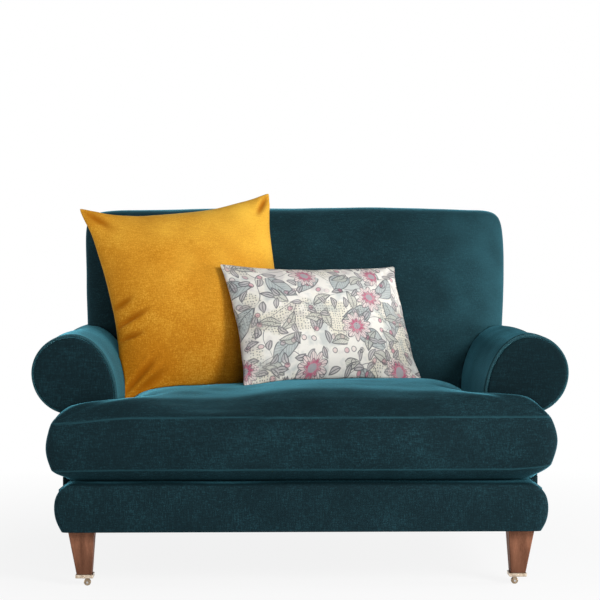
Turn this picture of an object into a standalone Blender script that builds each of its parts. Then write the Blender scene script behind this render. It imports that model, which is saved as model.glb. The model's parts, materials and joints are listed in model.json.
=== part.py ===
"""A snuggle chair: a wide upholstered armchair with scroll arms, a fixed back, one loose
T-shaped seat cushion, two scatter cushions, and brass castors on its front legs.

Lengths are metres, +Z is up and the front faces -Y. The origin is on the floor, under the
middle of the chair. A side is +1 on the chair's right as seen from the front, and -1 on its left.
"""

import math

import bmesh
import bpy
from mathutils import Matrix, Vector

# Clearances
GAP = 0.0003
WELD = GAP / 10
SOFT_GAP = 0.0005
OVERRUN = 0.030

# Timber base
FLOOR_CLEARANCE = 0.138
BASE_FRONT_Y = -0.466
REAR_Y = 0.4524
RAIL_HEIGHT = 0.090
RAIL_THICKNESS = 0.024
BLOCK_LENGTH = 0.070
BLOCK_HEIGHT = 0.060
TIMBER_EDGE = 0.0015

# Angles
SHARP_ANGLE = math.radians(40)
FLAT_ANGLE = math.radians(0.5)

# Arms
INSIDE_WIDTH = 0.902
ARM_THICKNESS = 0.134
ARM_FRONT_Y = -0.350
ARM_HEIGHT = 0.607
ARM_CURVE_RISE = 0.167
ROLL_CENTRE_FROM_INSIDE = 0.111
ROLL_RISE = 0.095
ROLL_REACH = 0.100
ROLL_DROP = 0.103
ARM_PAD_THICKNESS = 0.022
PANEL_THICKNESS = 0.010
PANEL_EDGE = 0.003
FACING_THICKNESS = 0.012
FACING_INSET = 0.009
FACING_EDGE = 0.004
PIPING_RADIUS = 0.0036
SCROLL_BOARD_THICKNESS = 0.018
ARM_RAIL_WIDTH = 0.070
ARM_RAIL_THICKNESS = 0.022
ARC_STEPS = 7

# Front border
BORDER_HEIGHT = 0.118
BORDER_WALL = 0.016
BORDER_OVERHANG = 0.010
BORDER_FOOT_TAPER = 0.025
BORDER_TOP_TAPER = 0.036
BORDER_ROLL = 0.030
BORDER_END_SHARES = (1, 4)
SPRING_ROOM = 0.010

# Seat springs and deck
SPRING_COUNT = 7
SPRING_SPACING = 0.124
SPRING_WIRE_RADIUS = 0.0017
SPRING_LOOP_WIDTH = 0.050
SPRING_WAVES = 9
SPRING_POINTS_PER_WAVE = 6
DECK_THICKNESS = 0.012
DUST_COVER_THICKNESS = 0.0012

# Back
BACK_HEIGHT = 0.936
BACK_TOP_DROP = 0.008
BACK_OVERHANG = 0.010
BACK_WAIST_INSET = 0.005
BACK_WIDEST_DROP = 0.136
BACK_CORNER = 0.066
BACK_SIDE_SHARES = (1, 3, 6)
PANEL_CORNER_SHARE = 0.8
BACK_FRONT_ROLL = 0.060
INSIDE_BACK_Y = 0.130
INSIDE_BACK_BEND_HEIGHT = 0.430
INSIDE_BACK_SLOPE_SHARE = 0.29
INSIDE_BACK_CROWN = 0.030
BACK_LEAN_SHARE = 0.055
BACK_FRAME_THICKNESS = 0.030
POST_WIDTH = 0.040
POST_INSET = 0.042
TOP_RAIL_HEIGHT = 0.055
TOP_RAIL_COVER = 0.034
TACK_RAIL_HEIGHT = 0.050
TACK_RAIL_LIFT = 0.045

# Seat cushion
CUSHION_OVERHANG = 0.018
CUSHION_FRONT_Y = -0.478
CUSHION_BOXING_BULGE = 0.020
CUSHION_FOOT_HEIGHT = 0.030
CUSHION_BOXING_HEIGHT = 0.126
CUSHION_ROLL = 0.036
CUSHION_RIM_RISE = 0.033
CUSHION_CROWN = 0.040
CUSHION_SEAM_SHARE = 0.55
CUSHION_FRONT_CLEARANCE = 0.0010

# Scatter cushions, each with its middle, its turn to the side, its lean back and its roll
MUSTARD_SIZE = 0.556
MUSTARD_THICKNESS = 0.170
MUSTARD_MIDDLE = (-0.266, 0.066, 0.706)
MUSTARD_TURN = math.radians(20.0)
MUSTARD_LEAN = math.radians(20.0)
MUSTARD_ROLL = math.radians(5.4)
PRINT_WIDTH = 0.530
PRINT_HEIGHT = 0.360
PRINT_THICKNESS = 0.150
PRINT_MIDDLE = (0.066, 0.022, 0.624)
PRINT_TURN = math.radians(25.0)
PRINT_LEAN = math.radians(28.0)
PRINT_ROLL = math.radians(0.0)
SEAM_THICKNESS = 0.010
CUSHION_LINE_SHARES = (-0.74, -0.40, 0.0, 0.40, 0.74)
MUSTARD_DRAWN_IN_SHARE = 0.105
PRINT_DRAWN_IN_SHARE = 0.055
DOG_EAR_SHARE = 0.05
CORNER_SHARE = 0.99

# Legs
LEG_TOP = 0.063
LEG_FOOT = 0.035
LEG_INSET = 0.0535
FRONT_LEG_Y = -0.420
FRONT_LEG_FOOT_SHIFT = 0.006
REAR_LEG_TOP = 0.054
REAR_LEG_Y = 0.405
REAR_LEG_RAKE = 0.045
LEG_EDGE = 0.002
BOLT_RADIUS = 0.004
BOLT_IN_LEG = 0.035
BOLT_IN_BLOCK = 0.045
BOLT_CLEARANCE = 0.0005
GLIDE_RADIUS = 0.012
GLIDE_HEIGHT = 0.004

# Castors
WHEEL_RADIUS = 0.0085
WHEEL_WIDTH = 0.0100
WHEEL_EDGE = 0.0015
AXLE_RADIUS = 0.0013
AXLE_HEAD_RADIUS = 0.0024
AXLE_HEAD_LENGTH = 0.0010
FORK_TRAIL = 0.0060
FORK_PLATE_RADIUS = 0.0100
FORK_PLATE_THICKNESS = 0.0018
FORK_CHEEK_THICKNESS = 0.0016
FORK_CHEEK_WIDTH = 0.0090
FORK_ROOM = 0.0012
CUP_HEIGHT = 0.0095
CUP_WALL = 0.0018
CUP_FLOOR = 0.0018
CUP_CHAMFER = 0.0012
PIVOT_RADIUS = 0.0025
PIVOT_CLEARANCE = 0.0004
ROUND_STEPS = 24

# Places that follow from the sizes above
RAIL_TOP = FLOOR_CLEARANCE + RAIL_HEIGHT
BORDER_TOP = FLOOR_CLEARANCE + BORDER_HEIGHT
DECK_TOP = BORDER_TOP
SEAT_FOOT = DECK_TOP + GAP
ARM_INSIDE_X = INSIDE_WIDTH / 2
ARM_OUTSIDE_X = ARM_INSIDE_X + ARM_THICKNESS
LEG_CENTRE_X = ARM_OUTSIDE_X - LEG_INSET
ROLL_X = ARM_INSIDE_X + ROLL_CENTRE_FROM_INSIDE
ROLL_CENTRE_HEIGHT = ARM_HEIGHT - ROLL_RISE
ARM_CURVE_START_HEIGHT = ARM_HEIGHT - ARM_CURVE_RISE
BORDER_WIDTH = 2 * (ARM_OUTSIDE_X + BORDER_OVERHANG)
BORDER_FOOT_WIDTH = BORDER_WIDTH - 2 * BORDER_FOOT_TAPER
BORDER_TOP_WIDTH = BORDER_WIDTH - 2 * BORDER_TOP_TAPER
BACK_WIDTH = 2 * (ARM_OUTSIDE_X + BACK_OVERHANG)
BACK_WAIST_WIDTH = 2 * (ARM_OUTSIDE_X - BACK_WAIST_INSET)
BACK_WIDEST_HEIGHT = BACK_HEIGHT - BACK_WIDEST_DROP
CUSHION_WIDTH = 2 * (ARM_OUTSIDE_X + CUSHION_OVERHANG)
SIDE_RAIL_OUT_X = ARM_OUTSIDE_X - PANEL_THICKNESS - GAP
SIDE_RAIL_IN_X = SIDE_RAIL_OUT_X - RAIL_THICKNESS
FRONT_RAIL_BACK_Y = BASE_FRONT_Y + RAIL_THICKNESS
BORDER_FRONT_Y = BASE_FRONT_Y - BORDER_WALL
BACK_FRAME_REAR_Y = REAR_Y - PANEL_THICKNESS - GAP
REAR_RAIL_FRONT_Y = BACK_FRAME_REAR_Y - RAIL_THICKNESS
BACK_FRAME_FRONT_Y = BACK_FRAME_REAR_Y - BACK_FRAME_THICKNESS
POST_OUT_X = SIDE_RAIL_OUT_X - POST_INSET + GAP
POST_IN_X = POST_OUT_X - POST_WIDTH
TOP_RAIL_TOP = BACK_HEIGHT - BACK_TOP_DROP - TOP_RAIL_COVER
CUP_TOP = 2 * WHEEL_RADIUS + FORK_ROOM + FORK_PLATE_THICKNESS + GAP + CUP_HEIGHT
CUP_UNDERSIDE = CUP_TOP - CUP_HEIGHT
FRONT_LEG_FOOT_HEIGHT = CUP_UNDERSIDE + CUP_FLOOR + GAP
FORK_PLATE_TOP = CUP_UNDERSIDE - GAP
CASTOR_X = LEG_CENTRE_X - FRONT_LEG_FOOT_SHIFT
CASTOR_Y = FRONT_LEG_Y + FRONT_LEG_FOOT_SHIFT


def clear_scene():
    """Empty the scene, whatever it held."""
    for item in list(bpy.data.objects):
        bpy.data.objects.remove(item)


def collection(name):
    """Return the collection with this name, made when it is missing."""
    found = bpy.data.collections.get(name)
    if found is None:
        found = bpy.data.collections.new(name)
        bpy.context.scene.collection.children.link(found)
    return found


def finish(name, colour, roughness, metallic=0.0):
    """Return a Principled material."""
    made = bpy.data.materials.new(name)
    made.use_nodes = True
    shader = made.node_tree.nodes["Principled BSDF"]
    shader.inputs["Base Color"].default_value = (*colour, 1.0)
    shader.inputs["Roughness"].default_value = roughness
    shader.inputs["Metallic"].default_value = metallic
    made.diffuse_color = (*colour, 1.0)
    return made


def add_object(name, data, place=(0.0, 0.0, 0.0), material=None, parent=None):
    """Link a new object for this mesh or curve into the chair's collection."""
    made = bpy.data.objects.new(name, data)
    collection("snuggle_chair").objects.link(made)
    made.location = place
    if material is not None and not data.materials:
        data.materials.append(material)
    if parent is not None:
        made.parent = parent
        made.matrix_parent_inverse = Matrix.Translation(-parent.location)
    return made


def add_mesh(name, shape, material, place=(0.0, 0.0, 0.0), side=1, parent=None):
    """Turn a bmesh into an object. A shape made for the right side is mirrored for side -1."""
    if side < 0:
        bmesh.ops.transform(shape, matrix=Matrix.Scale(-1, 4, Vector((1, 0, 0))), verts=shape.verts)
        bmesh.ops.reverse_faces(shape, faces=shape.faces)
    mesh = bpy.data.meshes.new(name)
    shape.to_mesh(mesh)
    shape.free()
    return add_object(name, mesh, (place[0] * side, place[1], place[2]), material, parent)


def make_cutter(piece):
    """Keep an object as a cutting shape only."""
    for home in list(piece.users_collection):
        home.objects.unlink(piece)
    collection("cutters").objects.link(piece)
    piece.hide_render = True
    piece.display_type = "WIRE"
    return piece


def cut(piece, cutter, operation="DIFFERENCE"):
    """Add a Boolean by one cutting shape."""
    step = piece.modifiers.new(cutter.name, "BOOLEAN")
    step.operation = operation
    step.object = cutter


def shifted_copy(piece, name, offset):
    """Copy a soft piece, moved by a clearance, as the shape that its neighbour is cut by."""
    made = piece.copy()
    made.name = name
    made.location = piece.location + Vector(offset)
    collection("cutters").objects.link(made)
    made.hide_render = True
    made.display_type = "WIRE"
    return made


def bevel(piece, width, segments=1):
    """Round or chamfer the sharp edges."""
    step = piece.modifiers.new("edges", "BEVEL")
    step.width = width
    step.segments = segments
    step.limit_method = "ANGLE"
    step.angle_limit = SHARP_ANGLE
    return piece


def smooth(piece, levels=1):
    """Turn a coarse cage into a soft form."""
    step = piece.modifiers.new("soft", "SUBSURF")
    step.levels = levels
    step.render_levels = levels
    piece.data.shade_smooth()
    return piece


def block_shape(low, high):
    """Return the bmesh of a box about its own middle, and that middle."""
    shape = bmesh.new()
    bmesh.ops.create_cube(shape, size=1.0)
    size = [b - a for a, b in zip(low, high)]
    bmesh.ops.scale(shape, vec=size, verts=shape.verts)
    return shape, [(a + b) / 2 for a, b in zip(low, high)]


def box(name, low, high, material, edge=0.0, side=1, parent=None):
    """A box between two corners."""
    shape, middle = block_shape(low, high)
    made = add_mesh(name, shape, material, middle, side, parent)
    if edge:
        bevel(made, edge)
    return made


def cylinder(name, radius, low, high, place, material, along="Z", parent=None):
    """A round bar along one axis, from low to high, about a place."""
    shape = bmesh.new()
    bmesh.ops.create_cone(
        shape, cap_ends=True, segments=ROUND_STEPS, radius1=radius, radius2=radius, depth=high - low
    )
    bmesh.ops.translate(shape, vec=(0, 0, (low + high) / 2), verts=shape.verts)
    if along == "Y":
        turn = Matrix.Rotation(math.radians(90), 4, "X")
        bmesh.ops.transform(shape, matrix=turn, verts=shape.verts)
    return add_mesh(name, shape, material, place, 1, parent)


def lean(height):
    """How far the back has leant to the rear at a height."""
    return max(0.0, height - RAIL_TOP) * BACK_LEAN_SHARE


def lean_back(piece, only_behind=None):
    """Shear a finished mesh with the back's lean, or only the points behind a given y."""
    for point in piece.data.vertices:
        world = point.co + piece.location
        if only_behind is None or world.y > only_behind:
            point.co.y += lean(world.z)
    return piece


def slice_shape(shape, axis, places):
    """Cut extra edges through a shape on planes across an axis."""
    normal = Vector([float(index == axis) for index in range(3)])
    for place in places:
        geometry = shape.verts[:] + shape.edges[:] + shape.faces[:]
        bmesh.ops.bisect_plane(shape, geom=geometry, dist=WELD, plane_co=normal * place, plane_no=normal)


def crease(shape, chosen, amount=1.0):
    """Crease the edges whose two ends are both chosen."""
    layer = shape.edges.layers.float.get("crease_edge") or shape.edges.layers.float.new("crease_edge")
    for edge in shape.edges:
        if all(chosen(point.co) for point in edge.verts):
            edge[layer] = amount


def arc(centre, radii, start, end, steps=ARC_STEPS):
    """Points along an elliptical arc, both ends included. Angles are in degrees."""
    points = []
    for step in range(steps + 1):
        angle = math.radians(start + (end - start) * step / steps)
        points.append((centre[0] + radii[0] * math.cos(angle), centre[1] + radii[1] * math.sin(angle)))
    return points


def roll_outline(inset, outer_x):
    """The right arm's section from the start of its inner curve, over the roll, to outer_x below it."""
    centre = (ROLL_X, ROLL_CENTRE_HEIGHT)
    reach = ROLL_REACH - inset
    end = -math.degrees(math.acos((outer_x - ROLL_X) / reach))
    inner = (ROLL_X - ARM_INSIDE_X - inset, ARM_HEIGHT - inset - ARM_CURVE_START_HEIGHT)
    points = arc((ROLL_X, ARM_CURVE_START_HEIGHT), inner, 180, 90)
    points += arc(centre, (reach, ARM_HEIGHT - inset - ROLL_CENTRE_HEIGHT), 90, 0)[1:]
    points += arc(centre, (reach, ROLL_DROP - inset), 0, end)[1:]
    return points


def arm_outline(inset, foot):
    """The right arm's closed section, drawn in by inset, standing on a height."""
    outer_x = ARM_OUTSIDE_X - inset
    return [(ARM_INSIDE_X + inset, foot), *roll_outline(inset, outer_x), (outer_x, foot)]


def neck_height():
    """The height at which the roll's underside meets the outside arm."""
    return roll_outline(0.0, ARM_OUTSIDE_X + GAP)[-1][1]


def back_half_width(height):
    """Half the back's width at a height."""
    share = (height - ARM_HEIGHT) / (BACK_WIDEST_HEIGHT - ARM_HEIGHT)
    share = min(1.0, max(0.0, share))
    return (BACK_WAIST_WIDTH + (BACK_WIDTH - BACK_WAIST_WIDTH) * math.sin(share * math.pi / 2)) / 2


def back_top(x):
    """The height of the back's top at a distance from its middle."""
    return BACK_HEIGHT - BACK_TOP_DROP * (2 * x / BACK_WIDTH) ** 2


def inside_back_y(height):
    """The y of the inside back's plain slope at a height."""
    return INSIDE_BACK_Y + max(0.0, height - INSIDE_BACK_BEND_HEIGHT) * INSIDE_BACK_SLOPE_SHARE


def curve_object(name, points, material, cyclic=False, flat=False):
    """A poly curve through points, flat in its own XY plane or free in space."""
    data = bpy.data.curves.new(name, "CURVE")
    data.dimensions = "2D" if flat else "3D"
    spline = data.splines.new("POLY")
    spline.points.add(len(points) - 1)
    for target, point in zip(spline.points, points):
        target.co = (*point, 0.0, 1.0) if flat else (*point, 1.0)
    spline.use_cyclic_u = cyclic
    return add_object(name, data, material=material)


def meshed(piece, slices=()):
    """Replace a curve object by its welded mesh, with its place and turn taken into the points."""
    depsgraph = bpy.context.evaluated_depsgraph_get()
    mesh = bpy.data.meshes.new_from_object(piece.evaluated_get(depsgraph), depsgraph=depsgraph)
    shape = bmesh.new()
    shape.from_mesh(mesh)
    bmesh.ops.remove_doubles(shape, verts=shape.verts, dist=WELD)
    bmesh.ops.transform(shape, matrix=piece.matrix_world, verts=shape.verts)
    bmesh.ops.dissolve_limit(
        shape, angle_limit=FLAT_ANGLE, verts=shape.verts, edges=shape.edges
    )
    slice_shape(shape, 2, slices)
    bmesh.ops.recalc_face_normals(shape, faces=shape.faces)
    name = piece.name
    material = piece.data.materials[0] if piece.data.materials else None
    bpy.data.objects.remove(piece)
    made = bpy.data.meshes.new(name)
    shape.to_mesh(made)
    shape.free()
    return add_object(name, made, material=material)


def plate(name, outline, front_y, rear_y, material, side=1, slices=()):
    """A flat outline in the XZ plane, thickened from front_y to rear_y."""
    piece = curve_object(name, [(x * side, z) for x, z in outline], material, cyclic=True, flat=True)
    piece.data.fill_mode = "BOTH"
    piece.data.extrude = (rear_y - front_y) / 2
    piece.rotation_euler = (math.radians(90), 0, 0)
    piece.location = (0, (front_y + rear_y) / 2, 0)
    bpy.context.view_layer.update()
    return meshed(piece, slices)


def timber_base(timber):
    """The rails and corner blocks that everything stands on."""
    low, high = FLOOR_CLEARANCE, RAIL_TOP
    box("front_seat_rail", (-SIDE_RAIL_OUT_X, BASE_FRONT_Y, low),
        (SIDE_RAIL_OUT_X, FRONT_RAIL_BACK_Y, high), timber, TIMBER_EDGE)
    box("rear_seat_rail", (-SIDE_RAIL_OUT_X, REAR_RAIL_FRONT_Y, low),
        (SIDE_RAIL_OUT_X, BACK_FRAME_REAR_Y, high), timber, TIMBER_EDGE)
    front, rear = FRONT_RAIL_BACK_Y + GAP, REAR_RAIL_FRONT_Y - GAP
    for side, hand in ((-1, "left"), (1, "right")):
        box(f"side_seat_rail_{hand}", (SIDE_RAIL_IN_X, front, low),
            (SIDE_RAIL_OUT_X, rear, high), timber, TIMBER_EDGE, side)
        block_out = SIDE_RAIL_IN_X - GAP
        block_in = block_out - BLOCK_LENGTH
        top = low + BLOCK_HEIGHT
        for end, first, leg_y in (("front", front, FRONT_LEG_Y), ("rear", rear - BLOCK_LENGTH, REAR_LEG_Y)):
            block = box(f"leg_block_{end}_{hand}", (block_in, first, low),
                        (block_out, first + BLOCK_LENGTH, top), timber, TIMBER_EDGE, side)
            cut(block, bolt_hole(f"{end}_{hand}_block", side, leg_y))


def bolt_hole(name, side, leg_y):
    """The clearance hole of one leg bolt, as a cutting shape."""
    joint = FLOOR_CLEARANCE
    hole = cylinder(f"bolt_hole_{name}", BOLT_RADIUS + BOLT_CLEARANCE, joint - BOLT_IN_LEG - GAP,
                    joint + BOLT_IN_BLOCK + GAP, (side * LEG_CENTRE_X, leg_y, 0), None)
    return make_cutter(hole)


def leg(name, side, y, top, foot, foot_height, shift, material):
    """A square tapered leg whose foot is moved by shift from under its top."""
    shape = bmesh.new()
    bmesh.ops.create_cube(shape, size=1.0)
    head = FLOOR_CLEARANCE - GAP
    for point in shape.verts:
        width = top if point.co.z > 0 else foot
        moved = (0.0, 0.0) if point.co.z > 0 else shift
        height = head if point.co.z > 0 else foot_height
        point.co = (point.co.x * width + moved[0], point.co.y * width + moved[1], height)
    made = add_mesh(name, shape, material, (LEG_CENTRE_X, y, 0), side)
    bevel(made, LEG_EDGE)
    cut(made, bolt_hole(name, side, y))
    return made


def legs(wood, steel, nylon):
    """Four legs with their bolts, and the glides under the rear pair."""
    for side, hand in ((-1, "left"), (1, "right")):
        leg(f"leg_front_{hand}", side, FRONT_LEG_Y, LEG_TOP, LEG_FOOT, FRONT_LEG_FOOT_HEIGHT,
            (-FRONT_LEG_FOOT_SHIFT, FRONT_LEG_FOOT_SHIFT), wood)
        leg(f"leg_rear_{hand}", side, REAR_LEG_Y, REAR_LEG_TOP, LEG_FOOT, GLIDE_HEIGHT + GAP,
            (0.0, REAR_LEG_RAKE), wood)
        for end, y in (("front", FRONT_LEG_Y), ("rear", REAR_LEG_Y)):
            cylinder(f"leg_bolt_{end}_{hand}", BOLT_RADIUS, FLOOR_CLEARANCE - BOLT_IN_LEG,
                     FLOOR_CLEARANCE + BOLT_IN_BLOCK, (side * LEG_CENTRE_X, y, 0), steel)
        cylinder(f"rear_glide_{hand}", GLIDE_RADIUS, 0.0, GLIDE_HEIGHT,
                 (side * LEG_CENTRE_X, REAR_LEG_Y + REAR_LEG_RAKE, 0), nylon)


def castor(side, hand, brass, steel):
    """A square-cup castor: the cup on the leg, and the fork, axle and wheel that turn below it."""
    middle = (side * CASTOR_X, CASTOR_Y, 0)
    taper = (LEG_TOP - LEG_FOOT) / (FLOOR_CLEARANCE - GAP - FRONT_LEG_FOOT_HEIGHT)
    pocket = LEG_FOOT / 2 + taper * (CUP_TOP - FRONT_LEG_FOOT_HEIGHT) + GAP
    outer = pocket + CUP_WALL
    cup = box(f"castor_cup_{hand}",
              (CASTOR_X - outer, CASTOR_Y - outer, CUP_UNDERSIDE),
              (CASTOR_X + outer, CASTOR_Y + outer, CUP_TOP), brass, 0.0, side)
    hollow = box(f"cup_hollow_{hand}",
                 (CASTOR_X - pocket, CASTOR_Y - pocket, CUP_UNDERSIDE + CUP_FLOOR),
                 (CASTOR_X + pocket, CASTOR_Y + pocket, CUP_TOP + OVERRUN), None, 0.0, side)
    bevel(cup, CUP_CHAMFER)
    cut(cup, make_cutter(hollow))
    pivot = cylinder(f"pivot_{hand}", PIVOT_RADIUS, FORK_PLATE_TOP - FORK_PLATE_THICKNESS,
                     CUP_UNDERSIDE + CUP_FLOOR / 2, middle, None)
    cut(cup, make_cutter(pivot), "UNION")

    swivel = bpy.data.objects.new(f"castor_swivel_{hand}", None)
    collection("snuggle_chair").objects.link(swivel)
    swivel.location = middle
    fork = cylinder(f"castor_fork_{hand}", FORK_PLATE_RADIUS, FORK_PLATE_TOP - FORK_PLATE_THICKNESS,
                    FORK_PLATE_TOP, middle, brass, parent=swivel)
    axle_x = middle[0] - side * FORK_TRAIL
    inner = WHEEL_WIDTH / 2 + GAP
    outer = inner + FORK_CHEEK_THICKNESS
    for end, low, high in (("near", -outer, -inner), ("far", inner, outer)):
        cheek = box(f"cheek_{end}_{hand}",
                    (axle_x - FORK_CHEEK_WIDTH / 2, CASTOR_Y + low, WHEEL_RADIUS - FORK_CHEEK_WIDTH / 2),
                    (axle_x + FORK_CHEEK_WIDTH / 2, CASTOR_Y + high, FORK_PLATE_TOP - GAP), None)
        cut(fork, make_cutter(cheek), "UNION")
    hole = cylinder(f"pivot_hole_{hand}", PIVOT_RADIUS + PIVOT_CLEARANCE, 0.0, OVERRUN, middle, None)
    cut(fork, make_cutter(hole))
    axle_middle = (axle_x, CASTOR_Y, WHEEL_RADIUS)
    bore = cylinder(f"axle_hole_{hand}", AXLE_RADIUS + GAP, -OVERRUN, OVERRUN, axle_middle, None, "Y")
    cut(fork, make_cutter(bore))

    axle = cylinder(f"castor_axle_{hand}", AXLE_RADIUS, -outer - GAP, outer + GAP, axle_middle,
                    steel, "Y", swivel)
    for end, way in (("near", -1), ("far", 1)):
        first = way * (outer + GAP)
        last = way * (outer + GAP + AXLE_HEAD_LENGTH)
        head = cylinder(f"axle_head_{end}_{hand}", AXLE_HEAD_RADIUS, min(first, last), max(first, last),
                        axle_middle, None, "Y")
        cut(axle, make_cutter(head), "UNION")
    wheel = cylinder(f"castor_wheel_{hand}", WHEEL_RADIUS, -WHEEL_WIDTH / 2, WHEEL_WIDTH / 2,
                     axle_middle, brass, "Y", swivel)
    bevel(wheel, WHEEL_EDGE)
    cut(wheel, bore)


def front_border(velvet):
    """The padded border along the front, hollow behind and below for the rail and blocks."""
    low = (-BORDER_WIDTH / 2, BORDER_FRONT_Y, FLOOR_CLEARANCE)
    high = (BORDER_WIDTH / 2, ARM_FRONT_Y - GAP, BORDER_TOP)
    shape, middle = block_shape(low, high)
    bmesh.ops.translate(shape, vec=middle, verts=shape.verts)
    slice_shape(shape, 0, [side * (BORDER_WIDTH / 2 - reach * BORDER_ROLL)
                           for side in (-1, 1) for reach in BORDER_END_SHARES])
    slice_shape(shape, 1, [BORDER_FRONT_Y + BORDER_ROLL])
    slice_shape(shape, 2, [FLOOR_CLEARANCE + BORDER_ROLL, BORDER_TOP - BORDER_ROLL])
    for point in shape.verts:
        if point.co.z < FLOOR_CLEARANCE + GAP:
            point.co.x *= BORDER_FOOT_WIDTH / BORDER_WIDTH
        if point.co.z > BORDER_TOP - GAP:
            point.co.x *= BORDER_TOP_WIDTH / BORDER_WIDTH
    crease(shape, lambda point: point.y > high[1] - GAP)
    crease(shape, lambda point: point.z < low[2] + GAP)
    border = smooth(add_mesh("front_border", shape, velvet))
    room = box("border_room", (-SIDE_RAIL_OUT_X - GAP, BASE_FRONT_Y - GAP, FLOOR_CLEARANCE - OVERRUN),
               (SIDE_RAIL_OUT_X + GAP, ARM_FRONT_Y + OVERRUN, RAIL_TOP + SPRING_ROOM), None)
    cut(border, make_cutter(room))


def springs_and_deck(steel, deck_cloth, dust_cloth):
    """Arched zigzag springs between the rails, the deck over them and the dust cover below."""
    first_y = (BASE_FRONT_Y + FRONT_RAIL_BACK_Y) / 2
    last_y = (REAR_RAIL_FRONT_Y + BACK_FRAME_REAR_Y) / 2
    seat = RAIL_TOP + GAP + SPRING_WIRE_RADIUS
    rise = DECK_TOP - DECK_THICKNESS - GAP - SPRING_WIRE_RADIUS - seat
    steps = SPRING_WAVES * SPRING_POINTS_PER_WAVE
    for number in range(SPRING_COUNT):
        middle = (number - (SPRING_COUNT - 1) / 2) * SPRING_SPACING
        points = []
        for step in range(steps + 1):
            share = step / steps
            sway = SPRING_LOOP_WIDTH / 2 * math.sin(2 * math.pi * step / SPRING_POINTS_PER_WAVE)
            arch = rise * (1 - (2 * share - 1) ** 2)
            points.append((middle + sway, first_y + (last_y - first_y) * share, seat + arch))
        spring = curve_object(f"seat_spring_{number + 1}", points, steel)
        spring.data.bevel_depth = SPRING_WIRE_RADIUS
        spring.data.bevel_resolution = 0
        spring.data.use_fill_caps = True
    edge = ARM_INSIDE_X + ARM_PAD_THICKNESS
    box("seat_deck", (-edge, ARM_FRONT_Y, DECK_TOP - DECK_THICKNESS),
        (edge, REAR_RAIL_FRONT_Y - GAP, DECK_TOP), deck_cloth)
    under = FLOOR_CLEARANCE - GAP
    cover = box("dust_cover", (-SIDE_RAIL_OUT_X, BASE_FRONT_Y, under - DUST_COVER_THICKNESS),
                (SIDE_RAIL_OUT_X, BACK_FRAME_REAR_Y, under), dust_cloth)
    for side, hand in ((-1, "left"), (1, "right")):
        for end, y, top in (("front", FRONT_LEG_Y, LEG_TOP), ("rear", REAR_LEG_Y, REAR_LEG_TOP)):
            half = top / 2 + GAP
            raked = REAR_LEG_RAKE / 2 if end == "rear" else 0.0
            opening = box(f"leg_opening_{end}_{hand}",
                          (LEG_CENTRE_X - half, y - half, under - OVERRUN),
                          (LEG_CENTRE_X + half, y + half + raked, under + OVERRUN), None, 0.0, side)
            cut(cover, make_cutter(opening))


def arm_frame(side, hand, timber):
    """The scroll-shaped board at an arm's front and the rail under its roll."""
    board_inset = ARM_PAD_THICKNESS + GAP
    foot = RAIL_TOP + GAP
    outline = [(ARM_INSIDE_X + board_inset, foot), *roll_outline(board_inset, ARM_OUTSIDE_X + GAP)]
    outline += [(SIDE_RAIL_OUT_X, outline[-1][1]), (SIDE_RAIL_OUT_X, foot)]
    board_rear = ARM_FRONT_Y + SCROLL_BOARD_THICKNESS
    plate(f"arm_scroll_board_{hand}", outline, ARM_FRONT_Y, board_rear, timber, side)
    half = ARM_RAIL_WIDTH / 2
    reach = ROLL_X - ARM_INSIDE_X - board_inset
    rise = ARM_HEIGHT - board_inset - ARM_CURVE_START_HEIGHT
    top = ARM_CURVE_START_HEIGHT + rise * math.sqrt(1 - (half / reach) ** 2) - GAP
    bottom = top - ARM_RAIL_THICKNESS
    front = board_rear + GAP
    rear = BACK_FRAME_FRONT_Y + lean(bottom) - GAP
    box(f"arm_top_rail_{hand}", (ROLL_X - half, front, bottom), (ROLL_X + half, rear, top),
        timber, TIMBER_EDGE, side)


def arm_cover(side, hand, velvet, piping):
    """An arm's padded cover, its outside panel, its front facing and the piping round it."""
    end_x = ARM_OUTSIDE_X + GAP
    section = [(ARM_INSIDE_X, SEAT_FOOT), *roll_outline(0.0, end_x),
               *reversed(roll_outline(ARM_PAD_THICKNESS, end_x)),
               (ARM_INSIDE_X + ARM_PAD_THICKNESS, SEAT_FOOT)]
    pad = plate(f"arm_pad_{hand}", section, ARM_FRONT_Y, BACK_FRAME_REAR_Y, velvet, side)
    lean_back(pad, only_behind=0.0)
    slot = box(f"frame_slot_{hand}",
               (ARM_INSIDE_X - OVERRUN, BACK_FRAME_FRONT_Y - GAP, RAIL_TOP),
               (POST_OUT_X + GAP, BACK_FRAME_REAR_Y + OVERRUN, ARM_HEIGHT + OVERRUN), None, 0.0, side)
    cut(pad, make_cutter(lean_back(slot)))

    low = (ARM_OUTSIDE_X - PANEL_THICKNESS, ARM_FRONT_Y, FLOOR_CLEARANCE)
    high = (ARM_OUTSIDE_X, BACK_FRAME_REAR_Y, neck_height() - GAP)
    shape, middle = block_shape(low, high)
    slice_shape(shape, 2, [RAIL_TOP - middle[2]])
    panel = add_mesh(f"outside_arm_{hand}", shape, velvet, middle, side)
    lean_back(panel, only_behind=0.0)

    facing_rear = ARM_FRONT_Y - GAP
    facing = plate(f"arm_facing_{hand}", arm_outline(FACING_INSET, SEAT_FOOT),
                   facing_rear - FACING_THICKNESS, facing_rear, velvet, side)
    bevel(facing, FACING_EDGE, 2)
    cord_y = facing_rear - PIPING_RADIUS
    route = arm_outline(FACING_INSET / 2, SEAT_FOOT + GAP)
    cord = curve_object(f"facing_piping_{hand}", [(x * side, cord_y, z) for x, z in route], piping)
    cord.data.bevel_depth = PIPING_RADIUS
    cord.data.bevel_resolution = 1
    cord.data.use_fill_caps = True


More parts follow.
